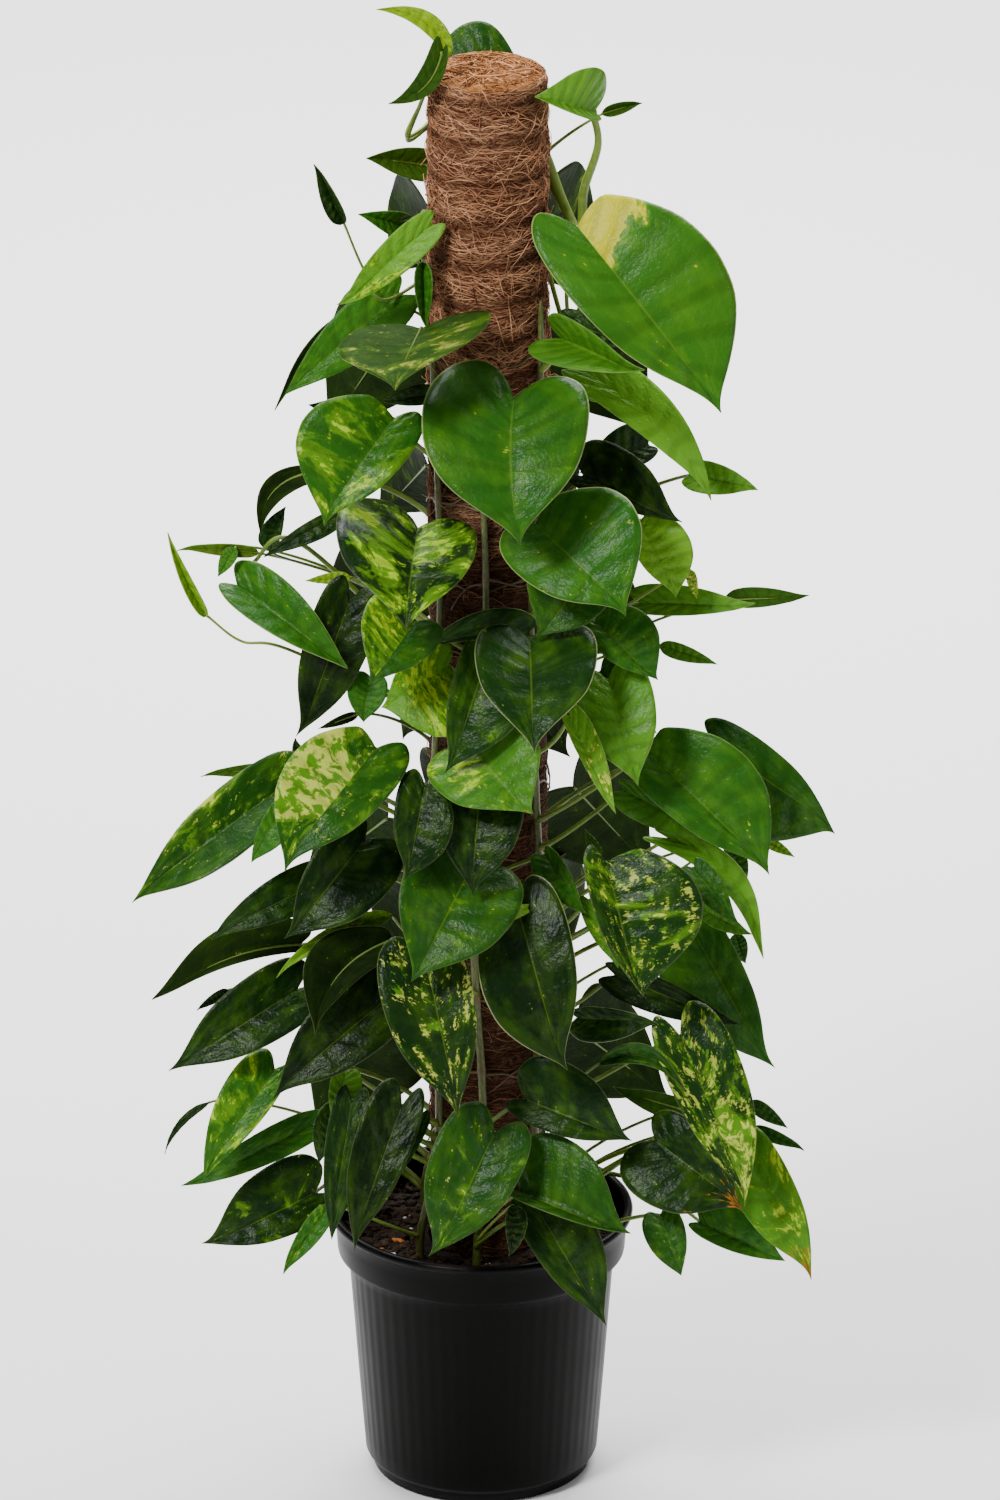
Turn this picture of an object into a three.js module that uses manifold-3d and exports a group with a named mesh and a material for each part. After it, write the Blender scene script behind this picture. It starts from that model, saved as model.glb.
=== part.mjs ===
// Potted golden pothos climbing a coir pole.
// Millimetres, +Z up. The origin is the middle of the pot's flat base, and the photograph looks along +Y.
import * as THREE from "three";
import { mergeVertices } from "three/addons/utils/BufferGeometryUtils.js";
import Module from "manifold-3d";

const wasm = await Module();
wasm.setup();

// Driving dimensions

const CLEARANCE = 0.3;

const POT = {
  height: 194,
  footRadius: 75.5,
  footHeight: 7,
  bodyBottomRadius: 80.5,
  bodyTopRadius: 92,
  bodyTopHeight: 161,
  collarRadius: 99,
  lipRadius: 105,
  wall: 2,
  floor: 3,
  drainHoles: 6,
  drainRadius: 5,
  drainCircle: 52,
};

const SOIL_TOP = 172;
const SOIL_LUMP = 2.5;

const POLE = {
  centreX: 5,
  radius: 40,
  ringDepth: 1.5,
  ringPitch: 61,
  top: 1030,
  bottom: 100,
  stakeRadius: 14,
  stakeBottom: 22,
  stakeTop: 1000,
};

const STEM = {
  radius: 3,
  sides: 5,
  footDepth: 32,
  footRadius: 60,
  climbRadius: 45,
  leanHeight: 60,
  wander: 6,
};

const PETIOLE = { rootRadius: 2.1, endRadius: 1.5, clearOfPole: 45.5 };

const BLADE = { thickness: 1.2, edgeDroop: 0.08, waveHeight: 0.03 };

// The photograph's view: a pixel of its 1000 x 1500 frame and a depth along Y give a place on the object

const VIEW = {
  centre: [500, 750],
  mmPerPixel: 0.682,
  aim: new THREE.Vector3(13, 0, 535),
  elevation: THREE.MathUtils.degToRad(23),
  distance: 9000,
};
const VIEW_UP = new THREE.Vector3(0, Math.sin(VIEW.elevation), Math.cos(VIEW.elevation));
const TO_VIEWER = new THREE.Vector3(0, -Math.cos(VIEW.elevation), Math.sin(VIEW.elevation));
const EYE = VIEW.aim.clone().addScaledVector(TO_VIEWER, VIEW.distance);

function fromPhoto([px, py, depth]) {
  const ray = TO_VIEWER.clone().multiplyScalar(-VIEW.distance);
  ray.x += (px - VIEW.centre[0]) * VIEW.mmPerPixel;
  ray.addScaledVector(VIEW_UP, (VIEW.centre[1] - py) * VIEW.mmPerPixel);
  return EYE.clone().addScaledVector(ray, (depth - EYE.y) / ray.y);
}

// Materials

const finish = (color, roughness) => new THREE.MeshStandardMaterial({ color, roughness, metalness: 0 });
const POT_PLASTIC = finish(0x1e1e1c, 0.45);
const POTTING_SOIL = finish(0x21180f, 0.95);
const COIR = finish(0x8a5a36, 0.95);
const STAKE_WOOD = finish(0xb48a5a, 0.8);
const GREEN_LEAF = finish(0x3c7a22, 0.4);

// Solids

function solidOf(geometry) {
  const bare = geometry.clone();
  bare.deleteAttribute("normal");
  bare.deleteAttribute("uv");
  const merged = mergeVertices(bare, 1e-4);
  const vertProperties = new Float32Array(merged.attributes.position.array);
  const triVerts = new Uint32Array(merged.index.array);
  return new wasm.Manifold(new wasm.Mesh({ numProp: 3, vertProperties, triVerts }));
}

function pieceOf(solid, name, material) {
  const mesh = solid.getMesh();
  const geometry = new THREE.BufferGeometry();
  geometry.setAttribute("position", new THREE.BufferAttribute(mesh.vertProperties, 3));
  geometry.setIndex(new THREE.BufferAttribute(mesh.triVerts, 1));
  geometry.computeVertexNormals();
  const piece = new THREE.Mesh(geometry, material);
  piece.name = name;
  return piece;
}

function joined(solids) {
  return solids.reduce((whole, solid) => whole.add(solid));
}

function turned(profile, segments) {
  const points = profile.map(([radius, height]) => new THREE.Vector2(radius, height));
  const geometry = new THREE.LatheGeometry(points, segments);
  geometry.rotateX(Math.PI / 2);
  return geometry;
}

function rod(radius, bottom, top, sides, x = 0, y = 0) {
  const geometry = new THREE.CylinderGeometry(radius, radius, top - bottom, sides);
  geometry.rotateX(Math.PI / 2);
  geometry.translate(x, y, (top + bottom) / 2);
  return geometry;
}

// A closed tube of a few flat sides along a curve, its radius running from first to last
function taperedTube(curve, sides, segments, firstRadius, lastRadius) {
  const frames = curve.computeFrenetFrames(segments);
  const positions = [];
  const indices = [];
  for (let ring = 0; ring <= segments; ring += 1) {
    const along = ring / segments;
    const centre = curve.getPoint(along);
    const radius = THREE.MathUtils.lerp(firstRadius, lastRadius, along);
    for (let side = 0; side < sides; side += 1) {
      const angle = (2 * Math.PI * side) / sides;
      const place = centre.clone();
      place.addScaledVector(frames.normals[ring], radius * Math.cos(angle));
      place.addScaledVector(frames.binormals[ring], radius * Math.sin(angle));
      positions.push(place.x, place.y, place.z);
    }
  }
  for (let ring = 0; ring < segments; ring += 1) {
    for (let side = 0; side < sides; side += 1) {
      const a = ring * sides + side;
      const b = ring * sides + ((side + 1) % sides);
      indices.push(a, b, b + sides);
      indices.push(a, b + sides, a + sides);
    }
  }
  const last = segments * sides;
  for (let side = 1; side < sides - 1; side += 1) {
    indices.push(0, side + 1, side);
    indices.push(last, last + side, last + side + 1);
  }
  const geometry = new THREE.BufferGeometry();
  geometry.setAttribute("position", new THREE.Float32BufferAttribute(positions, 3));
  geometry.setIndex(indices);
  return geometry;
}

// Pot: a turned shell with a rolled lip, a collar, a foot ring and drain holes

function potSolid() {
  const p = POT;
  const shell = turned([
    [0, 0],
    [p.footRadius, 0],
    [p.footRadius + 0.5, p.footHeight],
    [p.bodyBottomRadius, p.footHeight + 4],
    [p.bodyTopRadius, p.bodyTopHeight],
    [p.collarRadius, p.bodyTopHeight + 1],
    [p.collarRadius + 1.5, p.height - 6],
    [p.lipRadius - 1, p.height - 5.5],
    [p.lipRadius, p.height - 3],
    [p.lipRadius - 1.5, p.height - 0.6],
    [p.lipRadius - 4, p.height],
    [p.lipRadius - 6.5, p.height - 2],
    [p.collarRadius - p.wall, p.bodyTopHeight + 1],
    [p.bodyTopRadius - p.wall, p.bodyTopHeight - 3],
    [p.bodyBottomRadius - p.wall, p.footHeight + 5],
    [p.footRadius - p.wall, p.floor],
    [0, p.floor],
  ], 40);
  let pot = solidOf(shell);
  for (let hole = 0; hole < p.drainHoles; hole += 1) {
    const angle = (2 * Math.PI * hole) / p.drainHoles;
    const x = p.drainCircle * Math.cos(angle);
    const y = p.drainCircle * Math.sin(angle);
    pot = pot.subtract(solidOf(rod(p.drainRadius, -1, p.floor + 1, 8, x, y)));
  }
  return pot;
}

// Soil: fills the pot to just under its lip, uneven on top, with holes for the pole, its stake and the stems

function soilSolid(stemFeet) {
  const p = POT;
  const filling = turned([
    [0, p.floor + CLEARANCE],
    [p.footRadius - p.wall - CLEARANCE, p.floor + CLEARANCE],
    [p.bodyBottomRadius - p.wall - CLEARANCE, p.footHeight + 5],
    [p.bodyTopRadius - p.wall - CLEARANCE, p.bodyTopHeight - 3],
    [p.collarRadius - p.wall - CLEARANCE, p.bodyTopHeight + 1.4],
    [p.collarRadius - p.wall - CLEARANCE, SOIL_TOP - 1],
    [76, SOIL_TOP],
    [54, SOIL_TOP],
    [0, SOIL_TOP],
  ], 24);
  const place = filling.attributes.position;
  for (let index = 0; index < place.count; index += 1) {
    const x = place.getX(index);
    const y = place.getY(index);
    if (place.getZ(index) >= SOIL_TOP - 1) {
      place.setZ(index, place.getZ(index) + SOIL_LUMP * Math.sin(x / 9) * Math.cos(y / 11));
    }
  }
  const cuts = [
    rod(POLE.radius + POLE.ringDepth + CLEARANCE, POLE.bottom - CLEARANCE, SOIL_TOP + 20, 20, POLE.centreX),
    rod(POLE.stakeRadius + CLEARANCE, POLE.stakeBottom - CLEARANCE, POLE.bottom + 1, 16, POLE.centreX),
  ];
  for (const foot of stemFeet) {
    const hole = STEM.radius + 3 * CLEARANCE;
    cuts.push(rod(hole, foot.z - CLEARANCE, SOIL_TOP + 20, 8, foot.x, foot.y));
  }
  return cuts.reduce((soil, cut) => soil.subtract(solidOf(cut)), solidOf(filling));
}

// Coir pole: rings of wound coir with a rounded top, bored for the stake

function coirSolid() {
  const rings = Math.round((POLE.top - SOIL_TOP) / POLE.ringPitch);
  const profile = [[0, POLE.bottom], [POLE.radius, POLE.bottom], [POLE.radius, SOIL_TOP + 4]];
  for (let ring = 1; ring < rings; ring += 1) {
    const height = SOIL_TOP + ring * POLE.ringPitch;
    profile.push([POLE.radius + POLE.ringDepth, height - 0.5 * POLE.ringPitch]);
    profile.push([POLE.radius - POLE.ringDepth, height]);
  }
  profile.push([POLE.radius - 1, POLE.top - 11]);
  profile.push([POLE.radius - 5, POLE.top - 4]);
  profile.push([POLE.radius - 14, POLE.top - 1]);
  profile.push([0, POLE.top]);
  const coir = turned(profile, 16);
  coir.translate(POLE.centreX, 0, 0);
  const bore = rod(POLE.stakeRadius + CLEARANCE, POLE.bottom - 1, POLE.stakeTop + CLEARANCE, 16, POLE.centreX);
  return solidOf(coir).subtract(solidOf(bore));
}

function stakeSolid() {
  return solidOf(rod(POLE.stakeRadius, POLE.stakeBottom, POLE.stakeTop, 16, POLE.centreX));
}

// Blade outline: how far along from the notch to the tip, and how far out as a part of the half width

const HEART = {
  edge: [[-0.14, 0.42], [-0.05, 0.87], [0.22, 1], [0.54, 0.82], [0.8, 0.36]],
  rib: [0.22, 0.54],
  faces: [["n", 0, 1], ["n", 1, "r0"], [1, 2, "r0"], ["r0", 2, 3], ["r0", 3, "r1"], ["r1", 3, 4], ["r1", 4, "t"]],
};
// A half may be fuller toward the tip than a heart's, or have a deeper lobe behind the notch
const HALF_EDGES = {
  full: [[-0.03, 0.42], [0.1, 0.72], [0.4, 1], [0.62, 0.88], [0.83, 0.43]],
  deep: [[-0.3, 0.5], [-0.2, 0.9], [0.1, 1], [0.5, 0.83], [0.8, 0.37]],
};
const SMALL_HEART = {
  edge: [[-0.1, 0.66], [0.22, 1], [0.62, 0.72]],
  rib: [0.38],
  faces: [["n", 0, 1], ["n", 1, "r0"], ["r0", 1, 2], ["r0", 2, "t"]],
};
const SMALL_HALF = 19;
const LANCE = {
  edge: [[0.16, 0.92], [0.55, 0.84]],
  rib: [],
  faces: [["n", 0, 1], ["n", 1, "t"]],
};
const LANCE_HALF = 8;

// The surface of a blade: a chord from notch to tip, a bow of the rib, and two halves lifted toward the viewer.
// The seen half widths are the half widths across the view, so a lifted half is wider than it looks.
function bladeSurface(blade) {
  const along = blade.tip.clone().sub(blade.base);
  const length = along.length();
  along.normalize();
  const face = TO_VIEWER.clone().addScaledVector(along, -TO_VIEWER.dot(along)).normalize();
  const left = face.clone().cross(along);
  return (t, s) => {
    const lift = THREE.MathUtils.degToRad(s > 0 ? blade.liftLeft : blade.liftRight);
    const out = s > 0 ? left : left.clone().negate();
    const half = s > 0 ? blade.left : blade.right;
    const across = Math.abs(s) * half;
    const arc = 4 * t * (1 - t);
    const wave = BLADE.waveHeight * Math.sin(8 * t + half + (s > 0 ? 0 : 2)) * Math.abs(s);
    const sink = half * (wave - BLADE.edgeDroop * s * s);
    const place = blade.base.clone();
    place.addScaledVector(along, t * length);
    place.addScaledVector(out, across);
    place.addScaledVector(face, across * Math.tan(lift) + sink + blade.bow * arc);
    place.addScaledVector(left, blade.bend * arc);
    return place;
  };
}

function outlineOf(blade) {
  const half = (blade.left + blade.right) / 2;
  if (half < LANCE_HALF) return LANCE;
  return half < SMALL_HALF ? SMALL_HEART : HEART;
}

// A blade is the same set of triangles on both faces, half the thickness up and down, with a wall round its edge
function bladeSolid(blade) {
  const outline = outlineOf(blade);
  const surface = bladeSurface(blade);
  const count = outline.edge.length;
  const points = [surface(0, 0), surface(1, 0)];
  points.push(...outline.rib.map((t) => surface(t, 0)));
  const leftStart = points.length;
  const leftEdge = HALF_EDGES[blade.leftShape] ?? outline.edge;
  const rightEdge = HALF_EDGES[blade.rightShape] ?? outline.edge;
  points.push(...leftEdge.map(([t, s]) => surface(t, s)));
  points.push(...rightEdge.map(([t, s]) => surface(t, -s)));
  const number = (key, start) => {
    if (key === "n") return 0;
    if (key === "t") return 1;
    if (typeof key === "string") return 2 + Number(key[1]);
    return start + key;
  };
  const faces = [];
  for (const [a, b, c] of outline.faces) {
    faces.push([number(a, leftStart), number(c, leftStart), number(b, leftStart)]);
    const start = leftStart + count;
    faces.push([number(a, start), number(b, start), number(c, start)]);
  }
  const normals = points.map(() => new THREE.Vector3());
  for (const [a, b, c] of faces) {
    const ab = points[b].clone().sub(points[a]);
    const normal = ab.cross(points[c].clone().sub(points[a]));
    for (const corner of [a, b, c]) normals[corner].add(normal);
  }
  const half = BLADE.thickness / 2;
  const positions = [];
  for (const way of [half, -half]) {
    points.forEach((point, index) => {
      const place = point.clone().addScaledVector(normals[index].clone().normalize(), way);
      positions.push(place.x, place.y, place.z);
    });
  }
  const total = points.length;
  const indices = [];
  const edges = new Map();
  for (const [a, b, c] of faces) {
    indices.push(a, b, c);
    indices.push(total + a, total + c, total + b);
    for (const [from, to] of [[a, b], [b, c], [c, a]]) {
      if (edges.has(`${to},${from}`)) edges.delete(`${to},${from}`);
      else edges.set(`${from},${to}`, [from, to]);
    }
  }
  for (const [from, to] of edges.values()) {
    indices.push(from, total + from, total + to);
    indices.push(from, total + to, to);
  }
  const geometry = new THREE.BufferGeometry();
  geometry.setAttribute("position", new THREE.Float32BufferAttribute(positions, 3));
  geometry.setIndex(indices);
  return solidOf(geometry);
}

// Stems: each climbs the pole at its own side, from a foot in the soil

const VINES = {
  vine_front: { turn: -8, top: 800 },
  vine_front_left: { turn: -52, top: 850 },
  vine_front_right: { turn: 46, top: 874 },
  vine_left: { turn: -132, top: 985 },
  vine_right: { turn: 128, top: 960 },
  vine_back: { turn: 180, top: 990 },
};

function stemPlace(vine, z) {
  const sway = STEM.wander * Math.sin(z / 70 + vine.turn) * Math.min(1, Math.max(0, (z - SOIL_TOP) / 150));
  const turn = THREE.MathUtils.degToRad(vine.turn + sway);
  const lean = THREE.MathUtils.smoothstep(z, SOIL_TOP + 12, SOIL_TOP + 12 + STEM.leanHeight);
  const radius = THREE.MathUtils.lerp(STEM.footRadius, STEM.climbRadius, lean);
  return new THREE.Vector3(POLE.centreX + radius * Math.sin(turn), -radius * Math.cos(turn), z);
}

function stemSolid(vine) {
  const levels = [SOIL_TOP - STEM.footDepth, SOIL_TOP + 10, SOIL_TOP + 42, SOIL_TOP + 78];
  const steps = Math.round((vine.top - levels[3]) / 70);
  for (let step = 1; step <= steps; step += 1) {
    levels.push(levels[3] + ((vine.top - levels[3]) * step) / steps);
  }
  const curve = new THREE.CatmullRomCurve3(levels.map((z) => stemPlace(vine, z)));
  return solidOf(taperedTube(curve, STEM.sides, levels.length + 2, STEM.radius, STEM.radius * 0.7));
}

// A petiole leaves the stem below its blade, swings out clear of the pole and meets the notch from behind
function petioleSolid(vine, blade) {
  const reach = Math.hypot(blade.base.x - POLE.centreX, blade.base.y) - STEM.climbRadius;
  const drop = 18 + 0.55 * Math.max(0, reach);
  const lowest = SOIL_TOP + 14;
  const root = stemPlace(vine, Math.min(vine.top - 3, Math.max(lowest, blade.base.z - drop)));
  const along = blade.tip.clone().sub(blade.base);
  const inBlade = blade.base.clone().addScaledVector(along, 0.02);
  const points = [root, ...blade.via.map(fromPhoto), inBlade];
  let curve = new THREE.CatmullRomCurve3(points);
  if (blade.via.length === 0) {
    const span = root.distanceTo(blade.base);
    const outward = new THREE.Vector3(root.x - POLE.centreX, root.y, 0).normalize();
    const first = root.clone().addScaledVector(outward, 0.35 * span);
    first.z += 0.2 * span;
    const second = inBlade.clone().addScaledVector(TO_VIEWER, -0.25 * span);
    second.addScaledVector(along.normalize(), -0.05 * span);
    curve = new THREE.CubicBezierCurve3(root, first, second, inBlade);
  }
  const segments = (outlineOf(blade) === HEART ? 3 : 2) + 2 * blade.via.length;
  const route = curve.getPoints(segments).map((place, index) => {
    const radius = Math.hypot(place.x - POLE.centreX, place.y);
    if (index > 0 && radius < PETIOLE.clearOfPole && place.z < POLE.top) {
      const push = PETIOLE.clearOfPole / radius;
      place.x = POLE.centreX + (place.x - POLE.centreX) * push;
      place.y *= push;
    }
    return place;
  });
  const smooth = new THREE.CatmullRomCurve3(route);
  const { rootRadius, endRadius } = PETIOLE;
  return solidOf(taperedTube(smooth, 3, segments, rootRadius * blade.stalk, endRadius * blade.stalk));
}

// Leaves that the photograph shows. Each row reads: pixel and depth of the notch, pixel and depth of the tip,
// seen width in pixels of the left and of the right half, lift of both halves toward the viewer, bow, bend.
// Left is the left of someone walking from notch to tip. Depth, bow and bend are in mm, and lifts in degrees.
// Where a row ends in options, via lists places that the stalk passes, stalk thickens it, and a shape names the
// outline of one half.

const LEAVES = {
  vine_left: [
    [451, 54, -16, 375, 10, -20, 9, 11, 30, 25, 0, -10, { via: [[407, 137, -6], [416, 112, -10]] }],
    [443, 50, -30, 388, 104, -22, 10, 14, 30, 30, 0, 9, { via: [[408, 140, 4], [420, 105, -12]] }],
    [432, 166, 52, 366, 157, 22, 17, 16, 30, 30, 0, 0],
    [344, 223, -5, 315, 163, -12, 12, 5, 30, 60, 0, 0, { via: [[384, 300, -16], [363, 268, -10]] }],
    [404, 226, 5, 358, 213, -15, 14, 12, 35, 40, 4, 0],
    [430, 226, -34, 340, 309, -34, 18, 19, 25, 25, 6, 0],
    [392, 248, 15, 350, 300, 8, 12, 10, 20, 20, 4, 0],
    [423, 262, -36, 425, 330, -52, 9, 9, 60, 60, 0, 0],
    [398, 296, -4, 284, 394, -28, 28, 27, 5, 15, 6, 0],
    [392, 300, 16, 277, 414, -8, 10, 8, 40, 40, 0, -15],
    [368, 418, -14, 308, 405, -8, 8, 14, 30, 30, 0, 0],
    [312, 472, -20, 260, 536, -24, 13, 14, 30, 30, 0, -12],
    [258, 553, -25, 177, 547, -45, 6, 7, 40, 40, 0, 0],
    [235, 548, -36, 218, 577, -40, 7, 9, 15, 15, 0, 0],
    [270, 551, -18, 285, 506, -12, 16, 6, 15, 15, 0, 0],
    [345, 512, -20, 262, 556, -34, 13, 9, 15, 15, 4, 0],
    [206, 616, -30, 167, 532, -40, 6, 6, 60, 60, 0, 2, { via: [[290, 650, -30], [241, 641, -30]] }],
    [237, 585, -38, 349, 669, -82, 33, 20, 20, 40, 8, 0, { via: [[300, 543, -26], [254, 562, -26]] }],
    [350, 578, -26, 305, 581, -32, 5, 7, 15, 15, 0, 0],
    [285, 785, -30, 129, 900, -66, 30, 37, 40, 10, 10, 0, { leftShape: "full" }],
    [285, 768, -12, 200, 774, -22, 7, 7, 15, 15, 2, 0],
    [300, 768, -6, 294, 738, -2, 6, 9, 15, 15, 0, 0],
    [358, 714, -22, 318, 729, -28, 5, 5, 15, 15, 0, 0],
    [325, 880, -55, 209, 936, -80, 20, 26, 15, 15, 8, 0],
    [300, 945, -40, 153, 1005, -66, 8, 34, 40, 15, 8, -10],
    [297, 990, -50, 168, 1072, -80, 32, 38, 25, 10, 8, 0],
    [228, 990, -34, 196, 1010, -40, 5, 5, 15, 15, 0, 0],
    [275, 1070, -65, 201, 1178, -100, 18, 35, 20, 10, 8, 0],
    [312, 1125, -50, 182, 1189, -78, 17, 18, 15, 15, 6, 0],
    [315, 1193, -60, 203, 1248, -85, 28, 46, 15, 15, 6, 0],
    [208, 1103, -44, 164, 1154, -50, 4, 4, 0, 0, 0, -5],
  ],
  vine_front_left: [
    [421, 329, -58, 391, 389, -140, 58, 66, 44, -30, 4, 0],
    [436, 394, -52, 381, 402, -60, 9, 12, 15, 15, 2, 0],
    [394, 418, -55, 320, 524, -95, 34, 72, 20, 10, 8, 0, { rightShape: "full" }],
    [418, 528, -60, 403, 632, -140, 60, 80, 10, 10, 8, 0, { rightShape: "deep" }],
    [350, 600, -42, 300, 739, -58, 35, 30, 15, 15, 4, 0],
    [372, 678, -52, 362, 722, -60, 18, 22, 15, 15, 4, 0],
    [376, 748, -85, 279, 868, -140, 40, 60, 10, 15, 10, 0, { rightShape: "full" }],
    [285, 805, -76, 250, 862, -88, 20, 12, 15, 15, 4, 0],
    [365, 840, -72, 286, 941, -105, 50, 32, 15, 15, 6, 0],
    [392, 915, -78, 274, 975, -100, 8, 11, 30, 30, 0, -5],
    [392, 940, -86, 314, 1035, -118, 19, 38, 30, 30, 0, -13, { rightShape: "full" }],
    [333, 943, -70, 317, 962, -76, 6, 7, 15, 15, 0, 0],
    [385, 1000, -80, 270, 1096, -115, 34, 42, 15, 15, 6, 0],
    [330, 1205, -80, 281, 1273, -95, 12, 11, 30, 30, 0, 0],
    [352, 1100, -100, 330, 1240, -125, 22, 20, 15, 15, 6, 0],
    [402, 1105, -100, 350, 1250, -135, 24, 34, 15, 15, 6, 0],
    [428, 1110, -86, 383, 1195, -104, 9, 6, 15, 15, 4, 0],
    [345, 1072, -84, 333, 1122, -95, 20, 12, 15, 15, 4, 0],
    [338, 1110, -74, 318, 1163, -82, 11, 18, 15, 15, 4, 0],
  ],
  vine_front: [
    [514, 398, -76, 520, 546, -138, 76, 88, 8, 8, 10, -4, { rightShape: "deep" }],
    [415, 622, -75, 369, 686, -125, 32, 49, 20, 10, 6, 0],
    [449, 665, -66, 381, 708, -80, 60, 30, 15, 15, 4, 0, { leftShape: "full" }],
    [490, 648, -70, 448, 775, -104, 55, 26, 15, 15, 6, 0],
    [530, 640, -75, 533, 753, -150, 66, 55, 12, 12, 6, 0],
    [425, 785, -95, 407, 881, -125, 35, 26, 15, 15, 6, 0, { leftShape: "full" }],
    [470, 745, -75, 531, 817, -130, 55, 54, 15, 15, 6, 0, { leftShape: "full" }],
    [480, 790, -85, 471, 896, -120, 45, 38, 15, 15, 6, 0],
    [470, 870, -90, 412, 983, -145, 62, 58, 15, 15, 8, 0],
    [534, 906, -96, 426, 958, -134, 7, 7, 15, 15, 3, -3],
    [425, 955, -110, 460, 1118, -150, 40, 52, 15, 15, 8, 0],
    [517, 905, -95, 563, 1072, -140, 44, 56, 15, 15, 8, 0, { rightShape: "full" }],
    [545, 855, -62, 584, 915, -78, 12, 20, 15, 15, 4, 0],
    [520, 1192, -105, 630, 1237, -135, 68, 8, 10, 65, 6, 0],
    [525, 1099, -90, 632, 1142, -105, 50, 22, 15, 15, 6, 0],
    [495, 1132, -110, 434, 1259, -140, 42, 50, 15, 15, 8, 0],
    [535, 1205, -90, 607, 1326, -120, 44, 26, 15, 15, 6, 0],
    [513, 1205, -100, 511, 1257, -112, 15, 7, 15, 15, 3, 0],
    [527, 634, -56, 418, 649, -80, 4, 26, 15, 15, 4, -3],
  ],
  vine_front_right: [
    [560, 338, -45, 643, 376, -120, 20, 30, 55, 50, 4, 0],
    [585, 372, -30, 715, 498, -60, 30, 20, -20, 20, 6, 8],
    [583, 388, -16, 617, 402, -22, 8, 9, 15, 15, 0, 0],
    [648, 445, -2, 580, 475, -18, 16, 28, 15, 15, 4, 0],
    [583, 476, -35, 682, 525, -62, 42, 14, 15, 15, 6, 0],
    [535, 524, -75, 630, 613, -125, 80, 48, 5, 10, 8, 0, { leftShape: "full" }],
    [640, 520, -46, 678, 598, -62, 36, 20, 15, 15, 4, 0, { leftShape: "full" }],
    [690, 570, -52, 697, 599, -58, 5, 6, 15, 15, 0, 0],
    [590, 570, -60, 538, 640, -84, 35, 54, 15, 15, 6, 0],
    [595, 620, -60, 657, 682, -80, 40, 20, 15, 15, 6, 0, { leftShape: "full" }],
    [608, 680, -65, 638, 787, -100, 40, 38, 15, 15, 8, 0],
    [600, 672, -50, 655, 735, -66, 30, 14, 15, 15, 4, 0],
    [569, 717, -90, 615, 815, -112, 18, 8, 15, 15, 5, 0],
    [648, 752, -50, 773, 872, -85, 64, 32, 15, 15, 8, 0, { leftShape: "full" }],
    [625, 790, -45, 715, 838, -58, 12, 22, 15, 15, 4, 0],
    [606, 862, -85, 639, 998, -125, 84, 24, 10, 45, 8, 0, { leftShape: "full" }],
    [590, 900, -66, 620, 968, -76, 14, 14, 15, 15, 4, 0],
    [600, 858, -58, 584, 829, -58, 6, 6, 15, 15, 0, 0],
    [668, 838, -45, 759, 963, -70, 15, 15, 30, 30, 0, 19],
    [728, 842, -30, 747, 884, -38, 12, 9, 15, 15, 3, 0],
    [694, 868, -66, 737, 925, -84, 15, 15, 15, 15, 4, 0],
    [615, 975, -54, 740, 1026, -64, 15, 22, 15, 15, 5, 0],
    [578, 1018, -70, 658, 1021, -80, 12, 24, 15, 15, 5, 0],
    [600, 1063, -84, 686, 1092, -106, 13, 9, 40, 40, 0, 14],
    [680, 1035, -82, 753, 1205, -120, 46, 30, 15, 15, 8, 0],
    [690, 1112, -56, 612, 1088, -58, 14, 11, 15, 15, 4, 0],
    [655, 1140, -75, 745, 1208, -98, 38, 56, 15, 15, 8, 0],
    [660, 1215, -80, 681, 1276, -96, 20, 22, 15, 15, 5, 0],
  ],
  vine_right: [
    [566, 320, -8, 640, 350, -22, 14, 11, 15, 15, 3, 0],
    [577, 226, -34, 724, 412, -84, 92, 50, 5, 20, 10, 0, { via: [[566, 330, 2], [567, 280, 0]], leftShape: "full" }],
    [594, 112, -20, 534, 97, -42, 9, 42, 60, 15, 6, 0, { via: [[578, 232, 2], [584, 190, -4], [598, 145, -12]], stalk: 2 }],
    [602, 114, -14, 642, 102, -4, 6, 6, 50, 50, 0, 0],
    [577, 224, 12, 546, 220, 20, 5, 5, 15, 15, 0, 0],
    [690, 475, -10, 759, 488, -22, 17, 16, 15, 15, 4, 0],
    [640, 603, -20, 757, 607, -50, 20, 12, 15, 15, 5, 0],
    [725, 600, -25, 810, 597, -30, 12, 9, 15, 15, 3, 0],
    [660, 645, -36, 718, 664, -45, 8, 9, 15, 15, 2, 0],
    [715, 745, -20, 839, 829, -40, 30, 58, 15, 15, 8, 0, { rightShape: "full" }],
    [762, 838, -26, 795, 857, -32, 6, 6, 15, 15, 0, 0],
    [700, 908, -40, 752, 936, -48, 9, 11, 15, 15, 2, 0],
    [735, 934, -28, 745, 964, -32, 9, 9, 15, 15, 2, 0],
    [690, 925, -26, 771, 1071, -54, 28, 52, 15, 15, 8, 0],
    [700, 1222, -58, 785, 1262, -70, 30, 14, 15, 15, 6, 0],
    [745, 1150, -60, 817, 1278, -95, 28, 34, 15, 15, 8, 0],
    [750, 1102, -48, 788, 1128, -56, 8, 8, 15, 15, 2, 0],
    [752, 1128, -46, 806, 1149, -56, 7, 7, 15, 15, 2, 0],
  ],
  vine_back: [
    [450, 66, 56, 524, 70, 60, 34, 26, -12, -12, 4, 10],
  ],
};

// Leaves of the back, set by rule: rows up the pole, each leaf hanging outward at its own turn from the back
const BACK = {
  rows: 8,
  lowest: 262,
  rise: 84,
  turns: [[-48, 0, 48], [-24, 24]],
  baseRadius: 86,
  tipRadius: 168,
  seed: 8989,
};

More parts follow.
